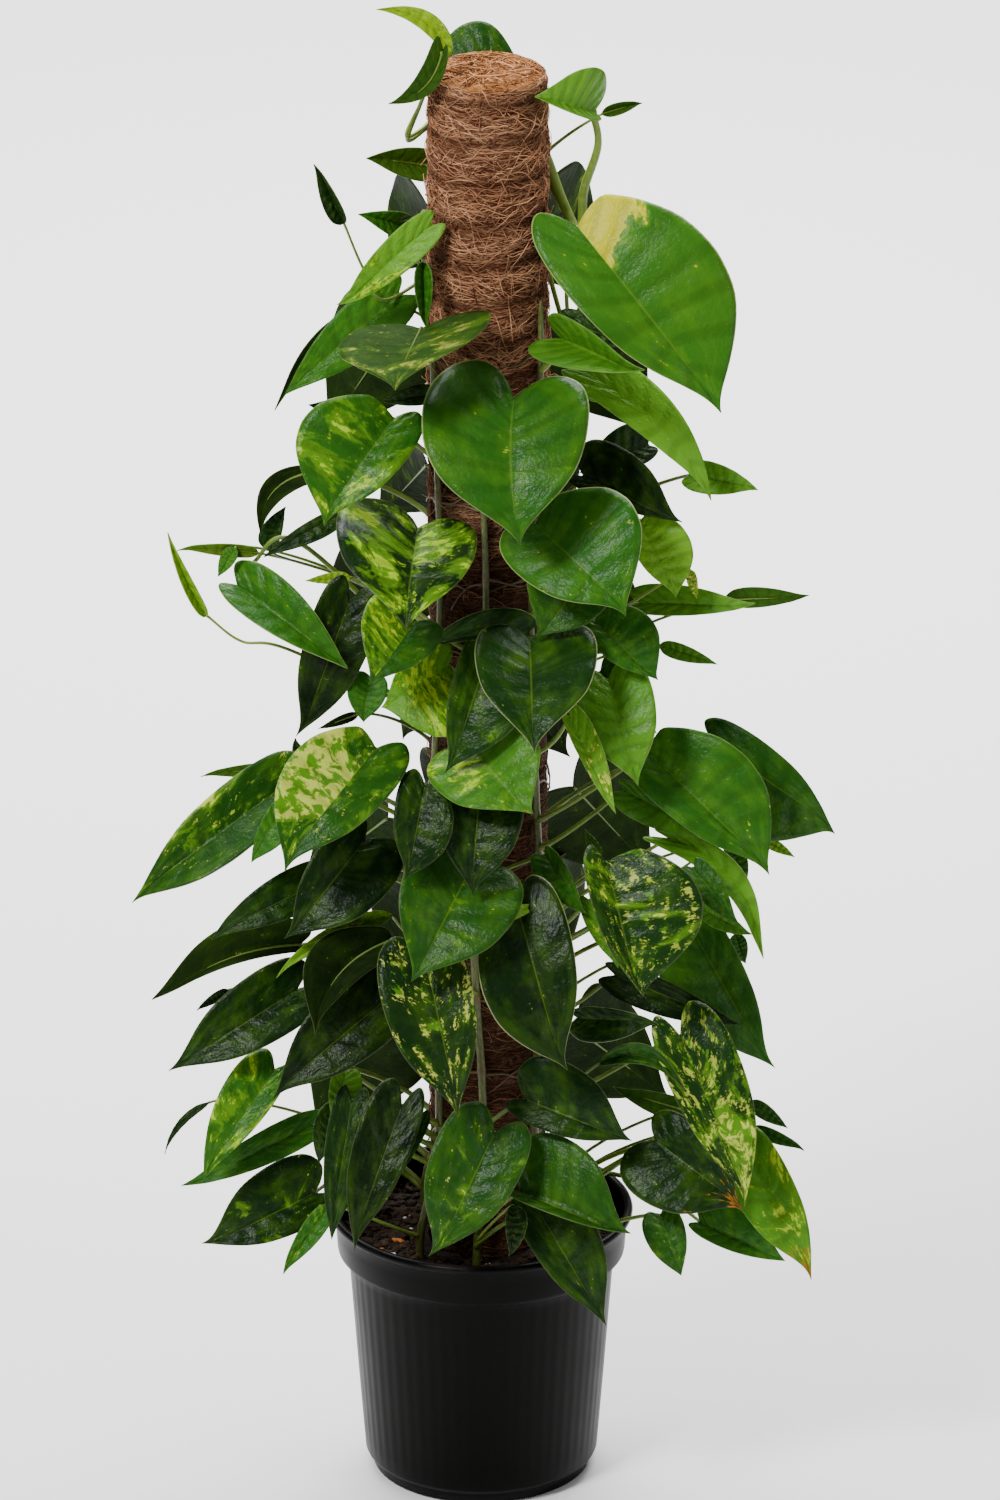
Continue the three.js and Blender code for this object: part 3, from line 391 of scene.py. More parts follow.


# %% [markdown]
# ## The leaves, read from the photograph
#
# One line is one leaf: the pixel and depth of its notch, the pixel and depth of its tip, the seen width of
# its left and right half in pixels, how many degrees each half is lifted toward the viewer, and how far the
# rib bows and bends. The next five numbers are its look: tone of green, how much the left and the right
# half are patched, yellow or cream, and where along the leaf the patches gather. The tone is partly the
# leaf's own green and partly painted light and shade: it is set darker on leaves that sit in shade and
# lighter on some that the lamps reach poorly. Letters mark a leaf that shows its back (U), one with fine
# specks (S), a pale margin (M) or a dry tip (N), a left or right half with a fuller outline (l, r) and a
# right half with a deep lobe (d), and a dash stands for none of them.

# %% Leaf rows
LEAF_ROWS = """
vine_left
451 54 -16  375 10 -20  9 11  30 25  0 -10  .95 .35 .5 .5 .3  -  407,137,-6 416,112,-10
443 50 -30  388 104 -22  10 14  30 30  0 9  .45 .1 .1 .3 .5  U  408,140,4 420,105,-12
432 166 52  366 157 22  17 16  30 30  0 0  .6 .05 .05 .3 .5  U
344 223 -5  315 163 -12  12 5  30 60  0 0  .2 0 0 .3 .5  -  384,300,-16 363,268,-10
404 226 5  358 213 -15  14 12  35 40  4 0  .5 .1 0 .3 .5  -
430 226 -34  340 309 -34  18 19  25 25  6 0  .75 .7 .5 .1 .6  -
392 248 15  350 300 8  12 10  20 20  4 0  .2 0 0 .3 .5  -
423 262 -36  425 330 -52  9 9  60 60  0 0  .5 .1 .1 .3 .5  -
398 296 -4  284 394 -28  28 27  5 15  6 0  .52 .1 .05 .3 .5  -
392 300 16  277 414 -8  10 8  40 40  0 -15  .25 0 0 .3 .5  U
368 418 -14  308 405 -8  8 14  30 30  0 0  .2 0 0 .3 .5  U
312 472 -20  260 536 -24  13 14  30 30  0 -12  .2 0 0 .3 .5  U
258 553 -25  177 547 -45  6 7  40 40  0 0  .8 .05 .05 .3 .5  U
235 548 -36  218 577 -40  7 9  15 15  0 0  .55 .1 .1 .3 .5  -
270 551 -18  285 506 -12  16 6  15 15  0 0  .3 0 .1 .3 .5  -
345 512 -20  262 556 -34  13 9  15 15  4 0  .2 0 0 .3 .5  -
206 616 -30  167 532 -40  6 6  60 60  0 2  .85 .3 .3 .8 .5  -  290,650,-30 241,641,-30
237 585 -38  349 669 -82  33 20  20 40  8 0  .48 .12 .1 .3 .5  M  300,543,-26 254,562,-26
350 578 -26  305 581 -32  5 7  15 15  0 0  .9 .3 .3 .3 .5  -
285 785 -30  129 900 -66  30 37  40 10  10 0  .36 .35 .62 .45 .8  l
285 768 -12  200 774 -22  7 7  15 15  2 0  .6 0 0 .3 .5  U
300 768 -6  294 738 -2  6 9  15 15  0 0  .15 0 0 .3 .5  -
358 714 -22  318 729 -28  5 5  15 15  0 0  .2 0 0 .3 .5  U
325 880 -55  209 936 -80  20 26  15 15  8 0  .25 .18 0 .2 .5  -
300 945 -40  153 1005 -66  8 34  40 15  8 -10  .25 0 .1 .9 .1  U
297 990 -50  168 1072 -80  32 38  25 10  8 0  .2 0 0 .3 .5  -
228 990 -34  196 1010 -40  5 5  15 15  0 0  .15 0 0 .3 .5  -
275 1070 -65  201 1178 -100  18 35  20 10  8 0  .46 .62 .5 .15 .55  -
312 1125 -50  182 1189 -78  17 18  15 15  6 0  .45 .1 .1 .3 .5  -
315 1193 -60  203 1248 -85  28 46  15 15  6 0  .22 .38 .3 .5 .6  -
208 1103 -44  164 1154 -50  4 4  0 0  0 -5  .15 0 0 .3 .5  -
vine_front_left
421 329 -58  391 389 -140  58 66  44 -30  4 0  .42 .62 .55 .9 .75  U
436 394 -52  381 402 -60  9 12  15 15  2 0  .15 0 0 .3 .5  -
394 418 -55  320 524 -95  34 72  20 10  8 0  .45 .6 .5 .15 .6  r
418 528 -60  403 632 -140  60 80  10 10  8 0  .22 .72 .6 .1 .45  d
350 600 -42  300 739 -58  35 30  15 15  4 0  .08 0 0 .3 .5  -
372 678 -52  362 722 -60  18 22  15 15  4 0  .5 .05 .05 .3 .5  -
376 748 -85  279 868 -140  40 60  10 15  10 0  .4 .42 .8 .6 .5  r
285 805 -76  250 862 -88  20 12  15 15  4 0  .5 .1 .1 .3 .5  -
365 840 -72  286 941 -105  50 32  15 15  6 0  .15 0 0 .3 .5  -
392 915 -78  274 975 -100  8 11  30 30  0 -5  .8 .5 .5 .3 .5  -
392 940 -86  314 1035 -118  19 38  30 30  0 -13  .1 0 0 .3 .5  Ur
333 943 -70  317 962 -76  6 7  15 15  0 0  .8 .3 .3 .3 .5  -
385 1000 -80  270 1096 -115  34 42  15 15  6 0  .06 0 0 .3 .5  -
330 1205 -80  281 1273 -95  12 11  30 30  0 0  .5 .4 .4 .9 .5  -
352 1100 -100  330 1240 -125  22 20  15 15  6 0  .26 .05 .1 .3 .5  -
402 1105 -100  350 1250 -135  24 34  15 15  6 0  .08 0 0 .3 .5  -
428 1110 -86  383 1195 -104  9 6  15 15  4 0  .32 .05 .05 .3 .5  -
345 1072 -84  333 1122 -95  20 12  15 15  4 0  .7 .1 .1 .3 .5  -
338 1110 -74  318 1163 -82  11 18  15 15  4 0  .25 .1 .1 .3 .5  -
vine_front
514 398 -76  520 546 -138  76 88  8 8  10 -4  .46 .08 .2 .3 .3  Md
415 622 -75  369 686 -125  32 49  20 10  6 0  .4 .3 .7 .1 .4  -
449 665 -66  381 708 -80  60 30  15 15  4 0  .7 .8 .75 .05 .5  l
490 648 -70  448 775 -104  55 26  15 15  6 0  .3 .28 .1 .2 .5  -
530 640 -75  533 753 -150  66 55  12 12  6 0  .3 .04 .05 .3 .5  M
425 785 -95  407 881 -125  35 26  15 15  6 0  .18 .3 .05 .8 .8  l
470 745 -75  531 817 -130  55 54  15 15  6 0  .56 .12 .68 .1 .3  l
480 790 -85  471 896 -120  45 38  15 15  6 0  .18 .1 .05 .3 .5  -
470 870 -90  412 983 -145  62 58  15 15  8 0  .38 .25 .2 .4 .5  -
534 906 -96  426 958 -134  7 7  15 15  3 -3  .8 .55 .55 1 .5  -
425 955 -110  460 1118 -150  40 52  15 15  8 0  .24 .2 .25 .8 .5  S
517 905 -95  563 1072 -140  44 56  15 15  8 0  .14 .02 .08 .6 .8  Mr
545 855 -62  584 915 -78  12 20  15 15  4 0  .5 .2 .1 .3 .5  M
520 1192 -105  630 1237 -135  68 8  10 65  6 0  .38 .05 .05 .3 .5  -
525 1099 -90  632 1142 -105  50 22  15 15  6 0  .25 0 0 .3 .5  -
495 1132 -110  434 1259 -140  42 50  15 15  8 0  .36 .3 .4 .9 .5  -
535 1205 -90  607 1326 -120  44 26  15 15  6 0  .24 .1 .25 .6 .2  -
513 1205 -100  511 1257 -112  15 7  15 15  3 0  .2 .05 .05 .8 .5  M
527 634 -56  418 649 -80  4 26  15 15  4 -3  .3 .1 .2 .4 .8  M
vine_front_right
560 338 -45  643 376 -120  20 30  55 50  4 0  .58 .05 .05 .6 .9  -
585 372 -30  715 498 -60  30 20  -20 20  6 8  .74 .05 .25 .3 .5  -
583 388 -16  617 402 -22  8 9  15 15  0 0  .7 .1 .1 .3 .5  -
648 445 -2  580 475 -18  16 28  15 15  4 0  .22 .2 .2 .3 .5  -
583 476 -35  682 525 -62  42 14  15 15  6 0  .1 0 0 .3 .5  -
535 524 -75  630 613 -125  80 48  5 10  8 0  .48 .2 .14 .4 .8  Ml
640 520 -46  678 598 -62  36 20  15 15  4 0  .78 .1 .1 .3 .5  l
690 570 -52  697 599 -58  5 6  15 15  0 0  .9 .8 .8 1 .5  -
590 570 -60  538 640 -84  35 54  15 15  6 0  .38 .05 .05 .3 .5  -
595 620 -60  657 682 -80  40 20  15 15  6 0  .46 .1 .05 .3 .5  l
608 680 -65  638 787 -100  40 38  15 15  8 0  .62 .05 .1 .4 .8  M
600 672 -50  655 735 -66  30 14  15 15  4 0  .45 .05 .05 .3 .5  M
569 717 -90  615 815 -112  18 8  15 15  5 0  .75 .6 .6 .6 .5  M
648 752 -50  773 872 -85  64 32  15 15  8 0  .46 .08 .05 .3 .5  l
625 790 -45  715 838 -58  12 22  15 15  4 0  .56 .05 .05 .3 .5  -
606 862 -85  639 998 -125  84 24  10 45  8 0  .3 .4 .3 .6 .6  Sl
590 900 -66  620 968 -76  14 14  15 15  4 0  .6 .45 .45 .3 .5  -
600 858 -58  584 829 -58  6 6  15 15  0 0  .5 0 0 .3 .5  U
668 838 -45  759 963 -70  15 15  30 30  0 19  .7 .2 .1 .3 .5  M
728 842 -30  747 884 -38  12 9  15 15  3 0  .4 .1 .1 .3 .5  -
694 868 -66  737 925 -84  15 15  15 15  4 0  .4 .1 .1 .3 .5  -
615 975 -54  740 1026 -64  15 22  15 15  5 0  .08 0 0 .3 .5  -
578 1018 -70  658 1021 -80  12 24  15 15  5 0  .25 .05 .05 .3 .5  M
600 1063 -84  686 1092 -106  13 9  40 40  0 14  .35 .15 .15 .3 .5  -
680 1035 -82  753 1205 -120  46 30  15 15  8 0  .3 .62 .55 .6 .6  S
690 1112 -56  612 1088 -58  14 11  15 15  4 0  .5 0 0 .3 .5  U
655 1140 -75  745 1208 -98  38 56  15 15  8 0  .25 .08 .05 .3 .5  N
660 1215 -80  681 1276 -96  20 22  15 15  5 0  .4 .3 .25 .5 .6  -
vine_right
566 320 -8  640 350 -22  14 11  15 15  3 0  .25 0 0 .3 .5  -
577 226 -34  724 412 -84  92 50  5 20  10 0  .53 1.35 .34 0 1.15  Ml  566,330,2 567,280,0
594 112 -20  534 97 -42  9 42  60 15  6 0  .72 .22 .15 .4 .5  -  578,232,2 584,190,-4 598,145,-12 2
602 114 -14  642 102 -4  6 6  50 50  0 0  .5 0 0 .3 .5  U
577 224 12  546 220 20  5 5  15 15  0 0  .4 0 0 .3 .5  U
690 475 -10  759 488 -22  17 16  15 15  4 0  .7 .05 .3 .2 .5  -
640 603 -20  757 607 -50  20 12  15 15  5 0  .68 .05 .05 .3 .5  -
725 600 -25  810 597 -30  12 9  15 15  3 0  .5 0 0 .3 .5  U
660 645 -36  718 664 -45  8 9  15 15  2 0  .6 .3 .3 .2 .5  -
715 745 -20  839 829 -40  30 58  15 15  8 0  .38 .05 .08 .3 .5  r
762 838 -26  795 857 -32  6 6  15 15  0 0  .8 .3 .3 .3 .5  -
700 908 -40  752 936 -48  9 11  15 15  2 0  .58 .1 .1 .3 .5  -
735 934 -28  745 964 -32  9 9  15 15  2 0  .4 .05 .05 .3 .5  -
690 925 -26  771 1071 -54  28 52  15 15  8 0  .42 .05 .05 .3 .5  -
700 1222 -58  785 1262 -70  30 14  15 15  6 0  .5 .05 .05 .3 .5  -
745 1150 -60  817 1278 -95  28 34  15 15  8 0  .6 .6 .55 .2 .6  N
750 1102 -48  788 1128 -56  8 8  15 15  2 0  .35 0 0 .3 .5  -
752 1128 -46  806 1149 -56  7 7  15 15  2 0  .4 0 0 .3 .5  -
vine_back
450 66 56  524 70 60  34 26  -12 -12  4 10  .35 .05 .05 .3 .5  -
"""


def read_leaves(text):
    """The leaves of each stem: twelve numbers of shape, five of look, letters, places and a thickness."""
    leaves = {}
    for words in filter(None, map(str.split, text.splitlines())):
        if len(words) == 1:
            rows = leaves[words[0]] = []
            continue
        numbers = [float(word) for word in words[:17]]
        via = [[float(part) for part in word.split(",")] for word in words[18:] if "," in word]
        thick = [float(word) for word in words[18:] if "," not in word]
        rows.append((numbers[:12], numbers[12:], words[17].strip("-"), via, *(thick or [1.0])))
    return leaves


LEAVES = read_leaves(LEAF_ROWS)
print("leaves read from the photograph:", sum(len(rows) for rows in LEAVES.values()))

# %% [markdown]
# ## Stems
#
# Six stems climb the pole, each at its own turn round it. A stem leaves the soil a little away from the
# pole, leans in, and then follows it upward with a slight sway.

# %% Stem paths
SOIL_TOP = 172.0
POLE_X = 5.0
POLE_TOP = 1030.0
POLE_BOTTOM = 100.0
FOOT_RADIUS = 60
CLIMB_RADIUS = 45
CLEAR_OF_POLE = 45.5
STEM_RADIUS = 3.0
LEAN_START = SOIL_TOP + 12
LEAN_RISE = 60
SWAY = 6.0
SWAY_RISE = 150
VINES = {
    "vine_front": (-8, 800),
    "vine_front_left": (-52, 850),
    "vine_front_right": (46, 874),
    "vine_left": (-132, 985),
    "vine_right": (128, 960),
    "vine_back": (180, 990),
}


def round_pole(radius, angle, height):
    """Places at a distance from the pole's axis, a turn from its front and a height."""
    return np.stack([POLE_X + radius * np.sin(angle), -radius * np.cos(angle), height], axis=-1)


def stem_place(vine, z):
    """A place at height z on a circle round the pole, wide at the foot and narrow above the lean."""
    turn, _ = VINES[vine]
    z = np.asarray(z, dtype=float)
    sway = SWAY * np.sin(z / 70 + turn) * np.clip((z - SOIL_TOP) / SWAY_RISE, 0, 1)
    lean = np.clip((z - LEAN_START) / LEAN_RISE, 0, 1)
    lean = lean * lean * (3 - 2 * lean)
    return round_pole(FOOT_RADIUS + (CLIMB_RADIUS - FOOT_RADIUS) * lean, np.radians(turn + sway), z)


print("the front stem ends at", stem_place("vine_front", VINES["vine_front"][1]).round(1))

# %% [markdown]
# ## One blade as a surface
#
# A blade is a function of two numbers. One runs along the side veins' places on the rib, from the notch to
# the tip, and the other runs out along a vein, from the rib to the edge. For each vein the outline gives
# the place of its end, and the vein curves forward to it. That way the grid follows the heart shape, lobes
# and all, and the same two numbers serve the material. Each blade has two faces a short way apart and a
# thin wall round its edge, so it is closed.

# %% Blade surface
HEART = [(0, 0), (-0.09, 0.2), (-0.145, 0.45), (-0.12, 0.7), (-0.045, 0.89), (0.08, 0.985), (0.22, 1.0),
         (0.38, 0.95), (0.54, 0.83), (0.68, 0.61), (0.8, 0.34), (0.89, 0.14), (0.95, 0.045), (1, 0)]
SMALL_HEART = [(0, 0), (-0.09, 0.35), (-0.085, 0.64), (0.04, 0.92), (0.22, 1.0), (0.42, 0.93), (0.62, 0.72),
               (0.8, 0.4), (0.92, 0.15), (1, 0)]
LANCE = [(0, 0), (0.02, 0.4), (0.12, 0.85), (0.3, 1.0), (0.52, 0.88), (0.74, 0.55), (0.9, 0.2), (1, 0)]
FULL_HALF = [(0, 0), (-0.03, 0.22), (-0.035, 0.42), (0.02, 0.58), (0.1, 0.74), (0.24, 0.93), (0.4, 1.0),
             (0.52, 0.97), (0.64, 0.87), (0.75, 0.66), (0.85, 0.38), (0.92, 0.15), (0.965, 0.045), (1, 0)]
DEEP_HALF = [(0, 0), (-0.12, 0.1), (-0.24, 0.27), (-0.3, 0.5), (-0.27, 0.74), (-0.16, 0.93), (0, 1.0),
             (0.18, 1.0), (0.36, 0.95), (0.54, 0.81), (0.68, 0.6), (0.8, 0.34), (0.89, 0.14), (0.95, 0.045),
             (1, 0)]
LANCE_BELOW = 8
SMALL_HEART_BELOW = 19
OUTLINE_POINTS = 240
VEIN_ROWS = 40
ACROSS = 9
HALF_THICKNESS = 0.35


def outline_of(left, right):
    """The outline for a blade of these half widths in millimetres."""
    half = (left + right) / 2
    if half < LANCE_BELOW:
        return LANCE
    return SMALL_HEART if half < SMALL_HEART_BELOW else HEART


def blade_points(base, tip, left, right, lift_left, lift_right, bow, bend, seed, flags):
    """Points of the middle surface, their running numbers, and the rib's frame.

    A point lies some way along the chord from notch to tip and some way out. It is raised by the lift of
    its half, by the bow of the rib, by a wave along the edge, and sinks a little where veins are pressed in.
    The flags say which way the upper face looks and which halves have another outline.
    """
    chord = tip - base
    length = np.linalg.norm(chord)
    forward = chord / length
    face = unit(TO_VIEWER - (TO_VIEWER @ forward) * forward)
    side = np.cross(face, forward)
    draw = np.random.default_rng(int(seed * 1e6))
    v = np.linspace(0.012, 0.992, VEIN_ROWS)[:, None]
    u = np.linspace(-1, 1, 2 * ACROSS + 1)[None, :]
    over = -1 if "U" in flags else 1
    plain = outline_of(left, right)
    edges = (FULL_HALF if "l" in flags else plain,
             FULL_HALF if "r" in flags else DEEP_HALF if "d" in flags else plain)
    edges = [spline(edge, OUTLINE_POINTS) for edge in edges]
    place = np.linspace(0, 1, OUTLINE_POINTS)
    edge_t, edge_s = (np.where(u > 0, *(np.interp(v, place, edge[:, k]) for edge in edges)) for k in (0, 1))
    rib_t = v**1.25
    out = np.abs(u)
    t = rib_t + (edge_t - rib_t) * out**1.25
    s = edge_s * out
    half = np.where(u > 0, left, right)
    lift = np.radians(np.where(u > 0, lift_left, lift_right))
    phase = np.where(u > 0, 0.0, 2.0)
    arc = 4 * t * (1 - t)
    wave = 0.03 * np.sin(8 * t + half + phase) * s
    ruffle = 0.02 * np.sin(17 * t + draw.uniform(0, 6) + phase) * s**3 * np.sin(np.pi * np.clip(v, 0, 1))
    sink = half * (wave + ruffle - 0.08 * s**2 + 0.05 * s * (1 - s))
    groove = -0.6 * np.exp(-((out / 0.05) ** 2)) * np.sin(np.pi * v)
    quilt = -0.2 * np.sin(VEIN_PACE * v) * out * (1 - out) * 4 * np.sin(np.pi * v)
    curl = draw.uniform(-0.05, 0.05) * length * np.clip((t - 0.78) / 0.22, 0, 1) ** 2
    height = s * half * np.tan(lift) + sink + bow * arc + over * (groove + quilt)
    sideways = np.sign(u) * s * half + bend * arc + curl
    points = base + t[..., None] * length * forward + height[..., None] * face + sideways[..., None] * side
    running = np.stack([np.broadcast_to((u + 1) / 2, t.shape), np.broadcast_to(v, t.shape)], axis=-1)
    return points, running, face


def closed_blade(points, over):
    """Both faces of a blade and the wall between their edges, with a one for each point of the back."""
    normal = unit(np.cross(np.gradient(points, axis=1), np.gradient(points, axis=0)))
    rows, columns = points.shape[:2]
    top = points - HALF_THICKNESS * normal
    bottom = points + HALF_THICKNESS * normal
    face = grid_faces(rows, columns)
    count = rows * columns
    index = np.arange(count).reshape(rows, columns)
    border = np.concatenate([index[0, :-1], index[:-1, -1], index[-1, :0:-1], index[:0:-1, 0]])
    after = np.roll(border, -1)
    wall = np.stack([border, after, after + count, border + count], axis=-1)
    faces = np.vstack([face[:, ::-1], face + count, wall])
    back = np.repeat([0.0, 1.0] if over > 0 else [1.0, 0.0], count)
    return np.vstack([top.reshape(-1, 3), bottom.reshape(-1, 3)]), faces, back


print("a blade has", 2 * (VEIN_ROWS - 1) * 2 * ACROSS * 2, "triangles on its faces")


# %% [markdown]
# ## Stalks
#
# Each leaf hangs on a stalk that leaves the stem below it, swings out clear of the pole and meets the
# notch from behind. There it runs on as the raised rib of the leaf's back, thinner and thinner. The
# stalk is a tube along one smooth path.

# %% Stalk paths
STALK_SIDES = 8
STALK_ROWS = 20
STALK_ROWS_THROUGH_PLACES = 34
STALK_ROOT_RADIUS = 1.9
STALK_END_RADIUS = 1.15
RIB_SHARE = 0.72


def stalk_path(vine, base, tip, via):
    """From the stem outward and up, then to the notch from behind; or through the places that are named."""
    top = VINES[vine][1]
    reach = max(0.0, np.hypot(base[0] - POLE_X, base[1]) - CLIMB_RADIUS)
    root = stem_place(vine, min(top - 3, max(SOIL_TOP + 14, base[2] - 18 - 0.55 * reach)))
    chord = tip - base
    notch = base + 0.02 * chord
    if via:
        path = spline([root, *[from_photo(*place) for place in via], notch], STALK_ROWS_THROUGH_PLACES)
    else:
        span = np.linalg.norm(root - base)
        outward = unit(np.array([root[0] - POLE_X, root[1], 0.0]))
        first = root + 0.35 * span * outward + np.array([0, 0, 0.2 * span])
        second = notch - 0.25 * span * TO_VIEWER - 0.05 * span * unit(chord)
        u = np.linspace(0, 1, STALK_ROWS)[:, None]
        path = (1 - u) ** 3 * root + 3 * u * (1 - u) ** 2 * first
        path = path + 3 * u**2 * (1 - u) * second + u**3 * notch
    apart = np.hypot(path[:, 0] - POLE_X, path[:, 1])
    push = np.where(path[:, 2] < POLE_TOP, np.maximum(1.0, CLEAR_OF_POLE / np.maximum(apart, 1)), 1.0)
    push[0] = 1.0
    path[:, 0] = POLE_X + (path[:, 0] - POLE_X) * push
    path[:, 1] *= push
    return path


class Grown:
    """Collects the points, faces and running numbers of everything that grows on one stem."""

    def __init__(self):
        self.points, self.faces, self.which, self.run, self.look, self.spot = [], [], [], [], [], []
        self.total = 0

    def add(self, points, faces, run, look, spot, which):
        """Adds one closed shape: its faces move up by the number of points that came before."""
        self.points.append(points)
        self.faces += [[corner + self.total for corner in face] for face in faces]
        self.run.append(run)
        self.look.append(np.tile(look, (len(points), 1)))
        self.spot.append(np.tile(spot, (len(points), 1)))
        self.which += [which] * len(faces)
        self.total += len(points)

    def add_tube(self, path, radius, sides, light, brown):
        """Adds a tube with closed ends."""
        rings = tube(path, radius, sides)
        rows = len(rings)
        faces = grid_faces(rows, sides, wrap=True).tolist()
        faces.append(list(range(sides))[::-1])
        faces.append([(rows - 1) * sides + side for side in range(sides)])
        run = np.zeros((rows, sides, 4))
        run[..., 0] = np.abs(np.linspace(-1, 1, sides))[None]
        run[..., 1] = np.linspace(0, np.linalg.norm(np.diff(path, axis=0), axis=1).sum() / 20, rows)[:, None]
        run[..., 2] = np.broadcast_to(brown, rows)[:, None]
        run[..., 3] = np.broadcast_to(light, rows)[:, None]
        self.add(rings.reshape(-1, 3), faces, run.reshape(-1, 4), np.zeros(4), np.zeros(4), 1)


def add_leaf(grown, vine, blade, look, flags, seed, via=(), thick=1.0):
    """Adds a blade, and its stalk with the rib of its back.

    The stalk's radius falls evenly from root to end, and swells as a bell curve where it leaves the stem and
    where it meets the notch.
    """
    base, tip, left, right = blade[:4]
    over = -1 if "U" in flags else 1
    points, running, face = blade_points(*blade, seed, flags)
    shell, faces, back = closed_blade(points, over)
    speckled, dry, margin = (float(letter in flags) for letter in "SNM")
    specks = np.full((len(back), 1), speckled)
    run = np.concatenate([np.tile(running.reshape(-1, 2), (2, 1)), back[:, None], specks], axis=1)
    tone, where = look[0], look[4]
    grown.add(shell, faces.tolist(), run, look[:4], (where, dry, margin, seed), 0)

    middle = points[:, ACROSS]
    path = stalk_path(vine, base, tip, via)
    path[-1] = middle[0] - 0.9 * over * face
    rib = middle[2 : int(VEIN_ROWS * RIB_SHARE) : 3] - 0.55 * over * face
    small = 0.7 if left + right < 2 * LANCE_BELOW else 1.0
    along = np.linspace(0, 1, len(path))
    swell = 1 + 0.5 * np.exp(-((along / 0.08) ** 2)) + 0.25 * np.exp(-(((along - 1) / 0.06) ** 2))
    stalk = thick * small * (STALK_ROOT_RADIUS + (STALK_END_RADIUS - STALK_ROOT_RADIUS) * along) * swell
    thin = np.linspace(1.0, 0.3, len(rib)) * thick**0.5 * small
    # A stalk is lighter on a leaf of lighter tone, so it shares the painted shade of a dark-toned leaf.
    light = np.concatenate([0.3 + 0.45 * tone + 0.1 * np.sin(along * 5 + seed * 9), np.full(len(rib), 0.45)])
    brown = np.concatenate([0.55 * np.exp(-((along / 0.05) ** 2)), np.zeros(len(rib))])
    grown.add_tube(np.vstack([path, rib]), np.concatenate([stalk, thin]), STALK_SIDES, light, brown)


print("a stalk's path is worked out for each leaf in turn")

# %% [markdown]
# ## Stems with joints and clinging roots
#
# A stem swells where a leaf once grew, every few centimetres, and from these joints it sends short brown
# roots that grip the coir.

# %% Stem with roots
JOINT_PACE = 52.0
STEM_ROWS = 190
STEM_SIDES = 10
ROOT_ROWS = 9
ROOT_SIDES = 5


def add_stem(grown, vine):
    """A tube up the pole, thicker at each joint, and two short roots round the pole from every joint."""
    turn, top = VINES[vine]
    z = np.linspace(SOIL_TOP - 31, top, STEM_ROWS)
    joints = np.arange(SOIL_TOP + 40, top, JOINT_PACE)
    near = np.exp(-(((z[:, None] - joints[None]) / 4.0) ** 2)).sum(1)
    taper = 1 - 0.3 * (z - z[0]) / (z[-1] - z[0])
    taper[-4:] *= [0.95, 0.8, 0.55, 0.2]
    radius = STEM_RADIUS * 0.97 * taper * (1 + 0.16 * near)
    grown.add_tube(stem_place(vine, z), radius, STEM_SIDES, 0.14 + 0.05 * np.sin(z / 31), 0.3 + 0.5 * near)
    draw = np.random.default_rng(abs(turn) + 7)
    u = np.linspace(0, 1, ROOT_ROWS)
    for joint in joints[1:]:
        start = stem_place(vine, joint)
        for way in (-1, 1):
            angle = np.arctan2(start[0] - POLE_X, -start[1]) + way * u * draw.uniform(0.35, 0.95)
            height = joint - 2 - draw.uniform(-8, 26) * u**1.5 + 2 * np.sin(5 * u + draw.uniform(0, 6))
            radius = CLIMB_RADIUS - 3.2 * np.minimum(1, u * 3) + 0.4 * np.sin(9 * u)
            root = round_pole(radius, angle, height)
            grown.add_tube(root, np.linspace(1.1, 0.45, ROOT_ROWS), ROOT_SIDES, 0.3, 0.9)


print("a stem has a joint every", JOINT_PACE, "mm")

# %% [markdown]
# ## Leaves of the back
#
# The photograph doesn't show the back, so its leaves follow a rule: rows up the pole, each leaf at its own
# turn, with small changes drawn from a fixed seed. The rule is the same as in the solids, so each leaf lies
# where its solid is.

# %% Leaves of the back
BACK_ROWS = 8
BACK_LOWEST = 262
BACK_RISE = 84
BACK_TURNS = [[-48, 0, 48], [-24, 24]]
BACK_BASE_RADIUS = 86
BACK_TIP_RADIUS = 168
BACK_SEED = 8989.0


def seeded_draws(seed):
    """Seemingly random numbers: each is the last one times a large number, cut to thirty-one bits."""
    state = [seed]

    def draw(low, high):
        state[0] = (state[0] * 1103515245.0 + 12345.0) % 2147483648.0
        return low + (high - low) * state[0] / 2147483648.0

    return draw


def back_blades():
    """The places and widths of the leaves of the back."""
    draw = seeded_draws(BACK_SEED)
    blades = []
    for row in range(BACK_ROWS):
        for slot in BACK_TURNS[row % 2]:
            turn = np.radians(slot + draw(-4, 4))
            outward = np.array([np.sin(turn), np.cos(turn), 0.0])
            middle = BACK_LOWEST + row * BACK_RISE + (18 if slot == 0 else 0) + draw(-8, 8)
            length = draw(106, 124)
            reach = (BACK_TIP_RADIUS - BACK_BASE_RADIUS) * draw(0.8, 1.05)
            half_fall = np.array([0, 0, 0.5 * np.sqrt(length**2 - reach**2)])
            centre = np.array([0, 0, middle])
            base = outward * BACK_BASE_RADIUS + centre + half_fall
            tip = outward * (BACK_BASE_RADIUS + reach) + centre - half_fall
            left, right = length * draw(0.33, 0.37), length * draw(0.33, 0.37)
            blades.append((base, tip, left, right, -draw(4, 20), -draw(4, 20), -8.0, 0.0))
    return blades


print("leaves of the back:", len(back_blades()))

# %% [markdown]
# ## The six climbing stems
#
# Each stem with its stalks and leaves is one grown thing, so it is one piece with two finishes. It stands
# for the solid of the same name.

